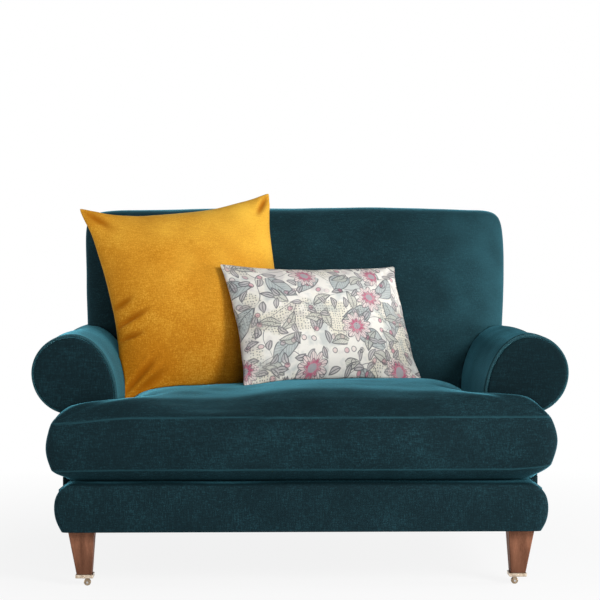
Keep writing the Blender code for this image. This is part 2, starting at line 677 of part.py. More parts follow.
def arm_room(side, hand):
    """The space that an arm takes out of the back, as a cutting shape."""
    inner = arm_outline(-SOFT_GAP, FLOOR_CLEARANCE)
    top = next(index for index, point in enumerate(inner) if point[0] >= ROLL_X)
    far = ARM_OUTSIDE_X + ROLL_REACH
    outline = [*inner[:top + 1], (far, inner[top][1]), (far, FLOOR_CLEARANCE)]
    return make_cutter(plate(f"arm_room_{hand}", outline, 0.0, REAR_Y + ARM_THICKNESS, None, side))


def back_frame(timber):
    """Two posts, a top rail and a tack rail, leaning with the outside back."""
    low, high = RAIL_TOP + GAP, TOP_RAIL_TOP - TOP_RAIL_HEIGHT - GAP
    for side, hand in ((-1, "left"), (1, "right")):
        lean_back(box(f"back_post_{hand}", (POST_IN_X, BACK_FRAME_FRONT_Y, low),
                      (POST_OUT_X, BACK_FRAME_REAR_Y, high), timber, 0.0, side))
    lean_back(box("back_top_rail", (-POST_OUT_X, BACK_FRAME_FRONT_Y, TOP_RAIL_TOP - TOP_RAIL_HEIGHT),
                  (POST_OUT_X, BACK_FRAME_REAR_Y, TOP_RAIL_TOP), timber))
    foot = RAIL_TOP + TACK_RAIL_LIFT
    lean_back(box("back_tack_rail", (-POST_IN_X + GAP, BACK_FRAME_FRONT_Y, foot),
                  (POST_IN_X - GAP, BACK_FRAME_REAR_Y, foot + TACK_RAIL_HEIGHT), timber))


def back_pad(velvet):
    """The fixed upholstered back, hollow behind for its frame and cut to sit over the arms."""
    half = BACK_WIDTH / 2
    rear = BACK_FRAME_REAR_Y
    shape, middle = block_shape((-half, INSIDE_BACK_Y, SEAT_FOOT), (half, rear, BACK_HEIGHT))
    bmesh.ops.translate(shape, vec=middle, verts=shape.verts)
    slice_shape(shape, 0, [side * (half - reach * BACK_CORNER) for side in (-1, 1)
                           for reach in BACK_SIDE_SHARES])
    slice_shape(shape, 1, [INSIDE_BACK_Y + BACK_FRONT_ROLL])
    bend = INSIDE_BACK_BEND_HEIGHT
    body = BACK_HEIGHT - BACK_CORNER - bend
    slice_shape(shape, 2, [bend, bend + body / 3, bend + 2 * body / 3, BACK_HEIGHT - BACK_CORNER])
    for point in shape.verts:
        x, y, z = point.co
        across = x / half
        height = z if z < BACK_HEIGHT - GAP else back_top(x)
        share = min(1.0, max(0.0, (z - bend) / (BACK_HEIGHT - bend)))
        crown = INSIDE_BACK_CROWN * (1 - across ** 2) * math.sin(math.pi * share)
        if y < rear - GAP:
            point.co.y = y - INSIDE_BACK_Y + inside_back_y(z) - crown * (y < INSIDE_BACK_Y + GAP)
        else:
            point.co.y = rear + lean(height)
        point.co.x = across * back_half_width(z)
        point.co.z = height
    crease(shape, lambda point: point.y > rear + lean(point.z) - GAP)
    crease(shape, lambda point: point.z < SEAT_FOOT + GAP)
    pad = smooth(add_mesh("back_pad", shape, velvet))
    room = box("frame_room", (-POST_OUT_X - GAP, BACK_FRAME_FRONT_Y - GAP, RAIL_TOP + GAP),
               (POST_OUT_X + GAP, BACK_FRAME_REAR_Y + OVERRUN, TOP_RAIL_TOP + GAP), None)
    cut(pad, make_cutter(lean_back(room)))
    for side, hand in ((-1, "left"), (1, "right")):
        cut(pad, arm_room(side, hand))
    return pad


def outside_back(velvet):
    """The rear panel, shaped to the arms' rolls and the back's corners."""
    inset = PANEL_EDGE
    half = [(ARM_OUTSIDE_X, FLOOR_CLEARANCE)]
    half += reversed([point for point in roll_outline(0.0, ARM_OUTSIDE_X) if point[0] > BACK_WAIST_WIDTH / 2])
    half.append((back_half_width(BACK_WIDEST_HEIGHT) - inset, BACK_WIDEST_HEIGHT))
    radius = BACK_CORNER * PANEL_CORNER_SHARE
    corner_x = back_half_width(BACK_HEIGHT) - inset - radius
    half += arc((corner_x, back_top(corner_x) - inset - radius), (radius, radius), 0, 90)
    outline = half + [(-x, z) for x, z in reversed(half)]
    front = BACK_FRAME_REAR_Y + GAP
    panel = plate("outside_back", outline, front, REAR_Y, velvet, slices=[RAIL_TOP])
    lean_back(panel)


def seat_cushion(velvet):
    """The loose T-shaped seat cushion, boxed all round and crowned on top."""
    half_wing = CUSHION_WIDTH / 2
    half_stem = ARM_INSIDE_X - SOFT_GAP
    wing_rear = ARM_FRONT_Y - FACING_THICKNESS - CUSHION_FRONT_CLEARANCE
    rear = INSIDE_BACK_Y - SOFT_GAP
    lower = SEAT_FOOT + CUSHION_FOOT_HEIGHT
    upper = lower + CUSHION_BOXING_HEIGHT
    bulge = CUSHION_BOXING_BULGE
    rings = (
        (SEAT_FOOT, -CUSHION_ROLL, -CUSHION_ROLL),
        (lower, 0.0, 0.0),
        ((lower + upper) / 2, bulge, 0.0),
        (upper, 0.0, 0.0),
        (upper + CUSHION_RIM_RISE, -CUSHION_ROLL, -CUSHION_ROLL),
    )
    shape = bmesh.new()
    loops = []
    for height, out, held in rings:
        right = [(half_wing + out, CUSHION_FRONT_Y - out), (half_wing + out, wing_rear + held),
                 (half_stem + held, wing_rear + held), (half_stem + held, rear + held)]
        outline = right + [(-x, y) for x, y in reversed(right)]
        loops.append([shape.verts.new((x, y, height)) for x, y in outline])
    for below, above in zip(loops, loops[1:]):
        count = len(below)
        for index in range(count):
            after = (index + 1) % count
            shape.faces.new((below[index], below[after], above[after], above[index]))
    shape.faces.new(list(reversed(loops[0])))
    shape.faces.new(loops[-1])
    inner_corners = [loop[index].co.copy() for loop in loops for index in (2, 5)]
    roll = CUSHION_ROLL
    slice_shape(shape, 0, [side * place for side in (-1, 1)
                           for place in (half_wing - roll, half_stem - roll, half_stem / 2)] + [0.0])
    stem = rear - wing_rear
    slice_shape(shape, 1, [CUSHION_FRONT_Y + roll, wing_rear - roll, wing_rear + stem / 3,
                           wing_rear + 2 * stem / 3, rear - roll])
    rim = upper + CUSHION_RIM_RISE
    middle_y = (CUSHION_FRONT_Y + rear) / 2
    for point in shape.verts:
        if point.co.z > rim - GAP:
            across = point.co.x / half_wing
            along = (point.co.y - middle_y) / (rear - middle_y)
            point.co.z += CUSHION_CROWN * max(0.0, 1 - across ** 2) * max(0.0, 1 - along ** 4)
    crease(shape, lambda point: abs(point.z - upper) < GAP, CUSHION_SEAM_SHARE)
    crease(shape, lambda point: abs(point.z - lower) < GAP, CUSHION_SEAM_SHARE)
    crease(shape, lambda point: point.z < SEAT_FOOT + GAP)
    crease(shape, lambda point: any((point.xy - corner.xy).length < GAP and
                                    point.z >= corner.z - GAP for corner in inner_corners))
    return smooth(add_mesh("seat_cushion", shape, velvet, (0, 0, 0)))


def scatter_cushion(name, size, drawn_in, middle, turn, lean_angle, roll, material):
    """A knife-edge cushion: full in the middle, with its sides drawn in between its corners."""
    width, height, thickness = size
    shape = bmesh.new()
    bmesh.ops.create_cube(shape, size=2.0)
    slice_shape(shape, 0, CUSHION_LINE_SHARES)
    slice_shape(shape, 1, CUSHION_LINE_SHARES)
    for point in shape.verts:
        u, v, face = point.co
        full = math.sqrt(max(0.0, 1 - u * u)) * math.sqrt(max(0.0, 1 - v * v))
        half_thick = max(SEAM_THICKNESS / 2, thickness / 2 * full)
        ear = 1 + DOG_EAR_SHARE * (abs(u * v) > CORNER_SHARE)
        point.co.x = width / 2 * u * ear * (1 - drawn_in * (1 - v * v))
        point.co.y = height / 2 * v * ear * (1 - drawn_in * (1 - u * u))
        point.co.z = face * half_thick
    cushion = smooth(add_mesh(name, shape, material, middle))
    upright = Matrix.Rotation(math.radians(90), 4, "X")
    spin = Matrix.Rotation(-roll, 4, "Y")
    tilt = Matrix.Rotation(-lean_angle, 4, "X")
    yaw = Matrix.Rotation(turn, 4, "Z")
    cushion.rotation_euler = (yaw @ tilt @ spin @ upright).to_euler()
    return cushion


def scatter_cushions(seat, back, mustard_velvet, printed_linen):
    """The two loose cushions, pressed against the seat, the arm, the back and each other."""
    mustard = scatter_cushion("mustard_cushion", (MUSTARD_SIZE, MUSTARD_SIZE, MUSTARD_THICKNESS),
                              MUSTARD_DRAWN_IN_SHARE, MUSTARD_MIDDLE, MUSTARD_TURN, MUSTARD_LEAN,
                              MUSTARD_ROLL, mustard_velvet)
    printed = scatter_cushion("printed_cushion", (PRINT_WIDTH, PRINT_HEIGHT, PRINT_THICKNESS),
                              PRINT_DRAWN_IN_SHARE, PRINT_MIDDLE, PRINT_TURN, PRINT_LEAN,
                              PRINT_ROLL, printed_linen)
    seat_room = shifted_copy(seat, "seat_room", (0, 0, SOFT_GAP))
    back_room = shifted_copy(back, "back_room", (0, -SOFT_GAP, 0))
    mustard_room = shifted_copy(mustard, "mustard_room", (0, -SOFT_GAP, 0))
    left_arm_room = make_cutter(plate("left_arm_room", arm_outline(-SOFT_GAP, FLOOR_CLEARANCE),
                                      ARM_FRONT_Y - OVERRUN, REAR_Y + OVERRUN, None, -1))
    for cushion in (mustard, printed):
        cut(cushion, seat_room)
        cut(cushion, back_room)
    cut(mustard, left_arm_room)
    cut(printed, mustard_room)


def build():
    """Make the whole chair."""
    clear_scene()
    timber = finish("frame_timber", (0.55, 0.40, 0.24), 0.65)
    leg_wood = finish("leg_wood", (0.24, 0.12, 0.07), 0.42)
    velvet = finish("teal_velvet", (0.020, 0.085, 0.110), 0.80)
    piping = finish("teal_piping", (0.035, 0.120, 0.145), 0.75)
    mustard_velvet = finish("mustard_velvet", (0.62, 0.31, 0.02), 0.80)
    printed_linen = finish("printed_linen", (0.80, 0.76, 0.68), 0.85)
    deck_cloth = finish("deck_cloth", (0.030, 0.075, 0.090), 0.90)
    dust_cloth = finish("dust_cloth", (0.012, 0.012, 0.012), 0.95)
    steel = finish("spring_steel", (0.45, 0.45, 0.46), 0.40, 1.0)
    brass = finish("castor_brass", (0.46, 0.32, 0.16), 0.38, 1.0)
    nylon = finish("glide_nylon", (0.05, 0.05, 0.05), 0.60)
    timber_base(timber)
    legs(leg_wood, steel, nylon)
    front_border(velvet)
    springs_and_deck(steel, deck_cloth, dust_cloth)
    back_frame(timber)
    for side, hand in ((-1, "left"), (1, "right")):
        castor(side, hand, brass, steel)
        arm_frame(side, hand, timber)
        arm_cover(side, hand, velvet, piping)
    back = back_pad(velvet)
    outside_back(velvet)
    seat = seat_cushion(velvet)
    scatter_cushions(seat, back, mustard_velvet, printed_linen)


build()
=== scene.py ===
"""The snuggle chair, dressed for a plain studio picture.

Lengths are metres, +Z is up and the front faces -Y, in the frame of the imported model. A side is
+1 on the chair's right as seen from the front, and -1 on its left.
"""
import json
import logging
import math
from collections.abc import Callable, Iterable, Sequence
from dataclasses import dataclass
from enum import Enum

import bmesh
import bpy
import numpy as np
from mathutils import Matrix, Vector, noise
from mathutils.bvhtree import BVHTree


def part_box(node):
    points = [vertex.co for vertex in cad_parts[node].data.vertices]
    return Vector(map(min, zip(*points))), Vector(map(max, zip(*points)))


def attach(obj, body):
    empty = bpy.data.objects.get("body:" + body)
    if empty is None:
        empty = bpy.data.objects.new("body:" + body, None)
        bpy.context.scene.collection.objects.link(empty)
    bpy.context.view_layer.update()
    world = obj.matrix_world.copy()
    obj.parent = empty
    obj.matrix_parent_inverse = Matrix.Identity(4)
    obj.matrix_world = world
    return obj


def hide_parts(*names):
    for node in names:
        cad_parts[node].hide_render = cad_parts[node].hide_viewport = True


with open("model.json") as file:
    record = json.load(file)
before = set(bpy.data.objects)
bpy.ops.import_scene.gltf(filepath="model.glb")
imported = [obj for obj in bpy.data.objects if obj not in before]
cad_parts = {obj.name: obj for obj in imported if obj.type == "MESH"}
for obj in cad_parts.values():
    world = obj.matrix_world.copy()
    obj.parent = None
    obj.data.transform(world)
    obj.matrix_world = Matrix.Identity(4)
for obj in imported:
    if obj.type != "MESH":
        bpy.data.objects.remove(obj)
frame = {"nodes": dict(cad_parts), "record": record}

LOG = logging.getLogger("snuggle_chair")
Point = tuple[float, float, float]
Colour = tuple[float, float, float]
Outline = list[tuple[float, float]]
SIDES = ((-1, "left"), (1, "right"))
FULL_TURN = 2 * math.pi
WHITE = (1.0, 1.0, 1.0)
HAIR = 0.0003  # the gap between neighbours, and the tolerance when points are picked


class Body(Enum):
    """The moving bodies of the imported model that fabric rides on."""

    CHAIR = "chair"
    SEAT = "seat_cushion"
    MUSTARD = "mustard_cushion"
    PRINTED = "printed_cushion"


class Slot(Enum):
    """The material slots of the record."""

    TIMBER = "frame_timber"
    LEG = "leg_wood"
    TEAL = "teal_velvet"
    PIPING = "teal_piping"
    MUSTARD = "mustard_velvet"
    PRINTED = "printed_linen"
    DECK = "deck_cloth"
    DUST = "dust_cloth"
    STEEL = "spring_steel"
    BRASS = "castor_brass"
    NYLON = "glide_nylon"


def operator(operation: str, swapped: bool = False) -> Callable[..., "Socket"]:
    """Return a method that does an operator's work with a Math node.

    Args:
        operation: The Math node's operation.
        swapped: Whether the other value comes first.

    Returns:
        The method.
    """
    def method(self: "Socket", *others: "Socket | float") -> "Socket":
        return self.maths(operation, *((*others, self) if swapped else (self, *others)))

    return method


class Socket:
    """A shader output that takes part in Python expressions."""

    __add__ = operator("ADD")
    __radd__ = operator("ADD", swapped=True)
    __sub__ = operator("SUBTRACT")
    __rsub__ = operator("SUBTRACT", swapped=True)
    __mul__ = operator("MULTIPLY")
    __pow__ = operator("POWER")
    __abs__ = operator("ABSOLUTE")
    least = operator("MINIMUM")
    most = operator("MAXIMUM")
    root = operator("SQRT")
    sine = operator("SINE")
    cosine = operator("COSINE")
    fract = operator("FRACT")
    angle_from = operator("ARCTAN2")

    def __init__(self, tree: "Tree", output: bpy.types.NodeSocket) -> None:
        """Wrap one output.

        Args:
            tree: The nodes that the output belongs to.
            output: The output socket.
        """
        self.tree = tree
        self.output = output

    def maths(self, operation: str, *values: "Socket | float", clamp: bool = False) -> "Socket":
        """Add one Math node.

        Args:
            operation: The Math node's operation.
            values: Its inputs in order.
            clamp: Whether the result stays between 0 and 1.

        Returns:
            The node's value.
        """
        settings = {"operation": operation, "use_clamp": clamp}
        return self.tree.node("ShaderNodeMath", settings, dict(enumerate(values)))

    def below(self, edge: float, softness: float) -> "Socket":
        """Return a mask that is 1 where the value is under an edge.

        Args:
            edge: The value at which the mask is one half.
            softness: The width over which it fades.

        Returns:
            The mask, from 0 to 1.
        """
        return self.maths("MULTIPLY_ADD", edge - self, 1.0 / softness, 0.5, clamp=True)

    def above(self, edge: float, softness: float) -> "Socket":
        """Return a mask that is 1 where the value is over an edge."""
        return self.maths("MULTIPLY_ADD", self - edge, 1.0 / softness, 0.5, clamp=True)


class Tree:
    """A node tree to which nodes are added by kind."""

    def __init__(self, nodes: bpy.types.NodeTree) -> None:
        """Wrap a node tree."""
        self.tree = nodes

    def node(self, kind: str, settings: dict | None = None, inputs: dict | None = None,
             output: str | int = 0) -> Socket:
        """Add one node.

        Args:
            kind: The node's type.
            settings: Its settings, set first. "stops" are a ramp's (place, colour) pairs.
            inputs: The value or link of each input, by name or number.
            output: The wanted output, by name or number.

        Returns:
            That output.
        """
        made = self.tree.nodes.new(kind)
        for key, value in (settings or {}).items():
            if key == "stops":
                self._set_stops(made.color_ramp, value)
            else:
                setattr(made, key, value)
        for key, value in (inputs or {}).items():
            self.feed(made.inputs[key], value)
        return Socket(self, made.outputs[output])

    def _set_stops(self, ramp: bpy.types.ColorRamp, stops: Sequence[tuple[float, Colour]]) -> None:
        """Give a colour ramp its stops."""
        while len(ramp.elements) < len(stops):
            ramp.elements.new(1.0)
        for element, (place, colour) in zip(ramp.elements, stops):
            element.position = place
            element.color = (*colour, 1.0)

    def feed(self, target: bpy.types.NodeSocket, value: "Socket | float | Sequence[float]") -> None:
        """Link or set one input.

        Args:
            target: The input socket.
            value: A link, a number, a vector or a colour.
        """
        if isinstance(value, Socket):
            self.tree.links.new(value.output, target)
        elif target.type == "RGBA" and len(value) == 3:
            target.default_value = (*value, 1.0)
        else:
            target.default_value = value

    def show(self, output: str, first: Socket, second: Socket, amount: Socket) -> None:
        """Show a mix of two shaders.

        Args:
            output: The output node's name.
            first: The shader where the amount is 0.
            second: The shader where it is 1.
            amount: The amount.
        """
        mixed = self.node("ShaderNodeMixShader", None, {0: amount, 1: first, 2: second})
        self.feed(self.tree.nodes[output].inputs["Surface"], mixed)


class Graph(Tree):
    """The nodes of one material, round its Principled shader."""

    def __init__(self, name: str) -> None:
        """Make the material.

        Args:
            name: Its name.
        """
        self.material = bpy.data.materials.new(name)
        self.material.use_nodes = True
        super().__init__(self.material.node_tree)
        self.shader = self.tree.nodes["Principled BSDF"]

    def place(self) -> Socket:
        """Return the point in the piece's own frame."""
        return self.node("ShaderNodeTexCoord", output="Object")

    def panel(self) -> Socket:
        """Return the point on the flat cloth panel, in metres."""
        return self.node("ShaderNodeUVMap", {"uv_map": "panel"})

    def mask(self, name: str) -> Socket:
        """Return a value that was painted on the piece's points."""
        return self.node("ShaderNodeAttribute", {"attribute_name": name}, output="Fac")

    def vector(self, operation: str, first: "Socket | Point", second: "Socket | Point") -> Socket:
        """Return the result of a Vector Math node."""
        return self.node("ShaderNodeVectorMath", {"operation": operation}, {0: first, 1: second})

    def axes(self, vector: Socket) -> tuple[Socket, Socket, Socket]:
        """Return a vector's three components."""
        split = self.node("ShaderNodeSeparateXYZ", None, {0: vector})
        outputs = split.output.node.outputs
        return tuple(Socket(self, outputs[index]) for index in range(3))

    def grain(self, vector: Socket, scale: Point, detail: float = 2.0,
              rough: float = 0.5) -> Socket:
        """Return a noise of its own scale along each axis.

        Args:
            vector: Where it is read.
            scale: Cycles per metre along each axis.
            detail: Octaves.
            rough: How strong the finer octaves are.

        Returns:
            The noise, about 0.5.
        """
        return self.node("ShaderNodeTexNoise", None, {
            "Vector": self.vector("MULTIPLY", vector, scale), "Scale": 1.0, "Detail": detail,
            "Roughness": rough})

    def mix(self, factor: Socket, first: "Socket | Colour", second: "Socket | Colour") -> Socket:
        """Return two colours mixed by a factor."""
        return self.node("ShaderNodeMix", {"data_type": "RGBA"},
                         {0: factor, 6: first, 7: second}, 2)

    def ramp(self, value: Socket, stops: Sequence[tuple[float, Colour]]) -> Socket:
        """Return the colour of a value on a ramp."""
        return self.node("ShaderNodeValToRGB", {"stops": stops}, {0: value})

    def bump(self, height: Socket, distance: float) -> Socket:
        """Return the normal of a height field."""
        return self.node("ShaderNodeBump", None, {
            "Height": height, "Distance": distance, "Strength": 1.0})

    def give_way(self, amount: Socket, other: Socket) -> None:
        """Let the Principled shader give way to another by an amount from 0 to 1."""
        self.show("Material Output", Socket(self, self.shader.outputs[0]), other, amount)

    def finish(self, **inputs: "Socket | float | Sequence[float]") -> bpy.types.Material:
        """Feed the shader's own sockets, named with _ for a space.

        Args:
            inputs: The value or link of each socket.

        Returns:
            The finished material.
        """
        for name, value in inputs.items():
            label = name.replace("_", " ").title().replace("Ior", "IOR")
            self.feed(self.shader.inputs[label], value)
        return self.material


@dataclass(frozen=True)
class Velvet:
    """A cut-pile cloth: slubs, random patches, a sheen at its edges, painted highlight and painted
    shade.
    """

    deep: Colour
    middle: Colour
    pale: Colour
    sheen: Colour
    sheen_weight: float
    sheen_roughness: float
    slub: float
    fleck: float
    brushed_and_painted_highlight: float
    roughness: float = 0.78
    pile: float = 0.0007

    def make(self, name: str) -> bpy.types.Material:
        """Return the material, under a name."""
        graph = Graph(name)
        place = graph.place()
        across = graph.grain(place, (62.0, 62.0, 470.0)) - 0.5
        down = graph.grain(place, (430.0, 430.0, 70.0)) - 0.5
        fleck = graph.grain(place, (390.0, 390.0, 390.0), 3.0, 0.6) - 0.5
        brushed_and_painted_highlight = graph.grain(place, (8.0, 8.0, 10.0), 4.0, 0.65) - 0.5
        thread = across * self.slub + down * self.slub + fleck * self.fleck
        shade = thread + brushed_and_painted_highlight * self.brushed_and_painted_highlight + 0.5
        colour = graph.ramp(shade, ((0.18, self.deep), (0.5, self.middle), (0.86, self.pale)))
        # Painted highlight, partly real brushing of the pile: paler where a piece's mask was
        # painted lighter.
        colour = graph.mix(graph.mask("nap") * (thread + 1.0), colour, self.pale)
        # Painted highlight along seams, the arm covers' front edges and the cushions' knife edges.
        colour = graph.mix(graph.mask("seam_painted_highlight"), colour, self.pale)
        # Painted shade in creases, gaps and dulled areas: a darker colour, and a plain dark diffuse
        # shader that hides the sheen there.
        colour = graph.mix(graph.mask("fold_and_painted_shade") * 0.8, colour, self.deep)
        painted_shade = graph.node("ShaderNodeBsdfDiffuse", None, {"Color": self.deep})
        graph.give_way(graph.mask("fold_and_painted_shade") * 0.9, painted_shade)
        return graph.finish(
            base_color=colour,
            roughness=self.roughness + thread * 0.12,
            sheen_weight=self.sheen_weight,
            sheen_roughness=self.sheen_roughness,
            sheen_tint=self.sheen,
            specular_ior_level=0.05,
            normal=graph.bump(thread, self.pile),
        )


@dataclass(frozen=True)
class PrintedLinen:
    """A plain-weave cloth printed with scattered leaves, flowers, vines and soft washes."""

    ground: Colour = (0.87, 0.84, 0.775)
    line: Colour = (0.085, 0.09, 0.105)
    leaf: Colour = (0.335, 0.405, 0.415)
    sage: Colour = (0.54, 0.545, 0.47)
    petal: Colour = (0.56, 0.10, 0.20)
    mauve: Colour = (0.50, 0.46, 0.47)
    ochre: Colour = (0.68, 0.63, 0.47)

    def _cells(self, graph: Graph, cloth: Socket, scale: float,
               shift: Point) -> tuple[Socket, ...]:
        """Split the cloth into cells, each with its own turned frame.

        Args:
            graph: The material.
            cloth: The point on the cloth.
            scale: Cells per metre.
            shift: Where the cells start.

        Returns:
            The place along and across the cell's motif, in cells, and two random values.
        """
        moved = graph.vector("ADD", cloth, shift)
        cell = graph.node("ShaderNodeTexVoronoi", {"voronoi_dimensions": "2D", "feature": "F1"}, {
            "Vector": moved, "Scale": scale, "Randomness": 0.72}, "Position")
        outputs = cell.output.node.outputs
        first, second, _ = graph.axes(Socket(graph, outputs["Color"]))
        x, y, _ = graph.axes(graph.vector("SUBTRACT", moved, cell))
        turn = first * FULL_TURN
        cosine, sine = turn.cosine(), turn.sine()
        along = (x * cosine + y * sine) * scale
        aside = (y * cosine - x * sine) * scale
        return along, aside, first, second

    def _leaf(self, along: Socket, aside: Socket, length: float, width: float,
              line: float) -> tuple[Socket, Socket]:
        """Draw a pointed leaf with a bent middle and side veins.

        Args:
            along: The place along the leaf, in cells.
            aside: The place across it.
            length: Half its length.
            width: Half its width.
            line: The width of its lines.

        Returns:
            The masks of its body and of its lines.
        """
        bent = aside + along * along * 0.55 - 0.05
        taper = 1.0 - (along * (1.0 / length)) ** 2.0
        edge = abs(bent) - taper.most(0.0) * width
        inside = edge.below(0.0, line) * abs(along).below(length, line)
        rim = abs(edge).below(line, line) * abs(along).below(length * 1.04, line)
        rib = abs(bent).below(line * 0.8, line)
        veins = abs((along * 9.0 + abs(bent) * 11.0).fract() - 0.5).below(0.10, 0.10)
        return inside, rim.most(inside * rib.most(veins * 0.6))

    def _flower(self, along: Socket, aside: Socket, radius: float, petals: int,
                line: float) -> tuple[Socket, ...]:
        """Draw a round flower with scalloped petals and a dotted middle.

        Args:
            along: The place along the motif, in cells.
            aside: The place across it.
            radius: Its outer radius.
            petals: The number of its petals.
            line: The width of its lines.

        Returns:
            The masks of its petals, their inner part, its middle and its lines.
        """
        reach = (along * along + aside * aside).root()
        angle = aside.angle_from(along)
        scallop = abs((angle * (petals / 2)).cosine()) * (radius * 0.34) + radius * 0.66
        edge = reach - scallop
        inner = reach - scallop * 0.55
        body = edge.below(0.0, line)
        middle = reach.below(radius * 0.26, line)
        spokes = abs((angle * (petals * 1.5 / math.pi)).fract() - 0.5).below(0.09, 0.12)
        lines = abs(edge).below(line, line).most(abs(inner).below(line * 0.6, line))
        lines = lines.most(body * spokes * reach.above(radius * 0.3, line))
        return body, inner.below(0.0, 0.10), middle, lines

    def _vine(self, across: Socket, along: Socket, swing: float, line: float) -> Socket:
        """Draw evenly thick lines that wind across the cloth.

        Args:
            across: The place across the lines, in spacings.
            along: The place along them, as an angle.
            swing: How far they wind, in spacings.
            line: Half their width, in spacings.

        Returns:
            Their mask.
        """
        wound = across + along.sine() * swing + (along * 0.37).sine() * swing
        return abs(wound.fract() - 0.5).below(line, line)

    def make(self, name: str) -> bpy.types.Material:
        """Return the material, under a name."""
        graph = Graph(name)
        flat = graph.panel()
        sway = graph.node("ShaderNodeTexNoise", None,
                          {"Vector": flat, "Scale": 9.0, "Detail": 2.0}, "Color")
        sway = graph.vector("SUBTRACT", sway, (0.5, 0.5, 0.5))
        sway = graph.vector("MULTIPLY", sway, (0.03, 0.03, 0.0))
        cloth = graph.vector("ADD", flat, sway)
        wash = graph.grain(cloth, (9.0, 9.0, 1.0), 3.0, 0.55)
        tint = graph.grain(cloth, (14.0, 14.0, 1.0), 3.0, 0.55)
        speck = graph.grain(flat, (60.0, 60.0, 1.0), 3.0, 0.6)
        colour = graph.mix(wash.above(0.56, 0.10) * 0.55, self.ground, self.ochre)
        colour = graph.mix(tint.below(0.42, 0.10) * 0.50, colour, self.leaf)
        colour = graph.mix(tint.above(0.60, 0.08) * 0.42, colour, self.mauve)

        drift = graph.grain(cloth, (5.5, 5.5, 1.0), 1.5)
        u, v, _ = graph.axes(cloth)
        vine = self._vine(u * 3.1 + v * 6.3, u * 24.0 - v * 9.0, 0.30, 0.0065)
        twig = self._vine(u * 9.1 - v * 4.7, u * 17.0 + v * 33.0, 0.26, 0.0085)
        ink = vine.most(twig * drift.above(0.5, 0.04))

        layers = (
            (10.0, (0.31, 0.17, 0.0), 0.52, 0.25, 0.015, self.leaf, 0.56),
            (16.0, (0.07, 0.43, 0.0), 0.50, 0.21, 0.024, self.sage, 0.48),
            (27.0, (0.53, 0.29, 0.0), 0.46, 0.20, 0.040, self.mauve, 0.48),
        )
        for scale, shift, length, width, line, tone, cover in layers:
            along, aside, _, chance = self._cells(graph, cloth, scale, shift)
            body, lines = self._leaf(along, aside, length, width, line)
            kept = chance.above(0.42, 0.02)
            shaded = body * kept * (speck * 0.7 + (cover - 0.2))
            colour = graph.mix(shaded, colour, tone)
            ink = (ink * (1.0 - body * kept)).most(lines * kept)

        along, aside, _, chance = self._cells(graph, cloth, 10.6, (0.83, 0.59, 0.0))
        petals, inner, middle, lines = self._flower(along, aside, 0.46, 10, 0.018)
        kept = chance.above(0.70, 0.02)
        colour = graph.mix(petals * kept * 0.75, colour, self.ground)
        blush = (inner * 0.80 + petals * 0.25) * kept * (1.5 - speck * 1.3)
        colour = graph.mix(blush, colour, self.petal)
        colour = graph.mix(middle * kept * 0.8, colour, self.leaf)
        ink = (ink * (1.0 - petals * kept)).most(lines * kept)

        along, aside, first, chance = self._cells(graph, cloth, 34.0, (0.19, 0.71, 0.0))
        reach = (along * along + aside * aside).root()
        berry = chance.above(0.62, 0.02) * (1.0 - petals * kept)
        colour = graph.mix(reach.below(0.22, 0.05) * berry * first * 0.7, colour, self.petal)
        ink = ink.most(abs(reach - 0.23).below(0.035, 0.04) * berry * 0.9)

        dots = graph.node("ShaderNodeTexVoronoi", {"voronoi_dimensions": "2D"}, {
            "Vector": cloth, "Scale": 135.0, "Randomness": 0.45})
        ink = ink.most(dots.below(0.24, 0.10) * wash.above(0.55, 0.02) * 0.8)
        smudge = graph.grain(flat, (34.0, 34.0, 1.0), 3.0, 0.6)
        colour = graph.mix(ink * (smudge * 1.1 + 0.30), colour, self.line)

        weft = graph.grain(flat, (160.0, 1500.0, 1.0), 1.0)
        warp = graph.grain(flat, (1500.0, 160.0, 1.0), 1.0)
        thread = weft + warp
        colour = graph.mix((thread - 0.8) * 0.30, colour, (0.42, 0.38, 0.34))
        # Painted shade in the creases.
        colour = graph.mix(graph.mask("fold_and_painted_shade") * 0.5, colour, (0.45, 0.42, 0.39))
        return graph.finish(
            base_color=colour,
            roughness=0.86 + thread * 0.04,
            sheen_weight=0.12,
            sheen_roughness=0.5,
            specular_ior_level=0.3,
            normal=graph.bump(thread, 0.0004),
        )


@dataclass(frozen=True)
class PlainCloth:
    """A woven cloth for the places that are seldom seen."""

    colour: Colour
    pale: Colour
    threads: float = 900.0

    def make(self, name: str) -> bpy.types.Material:
        """Return the material, under a name."""
        graph = Graph(name)
        place = graph.place()
        weft = graph.grain(place, (60.0, self.threads, 60.0), 1.0)
        warp = graph.grain(place, (self.threads, 60.0, 60.0), 1.0)
        thread = weft + warp
        faded = graph.grain(place, (5.0, 5.0, 5.0), 3.0)
        colour = graph.mix(thread * 0.45 + faded * 0.3 - 0.25, self.colour, self.pale)
        return graph.finish(base_color=colour, roughness=0.9, specular_ior_level=0.08,
                            normal=graph.bump(thread, 0.0005))


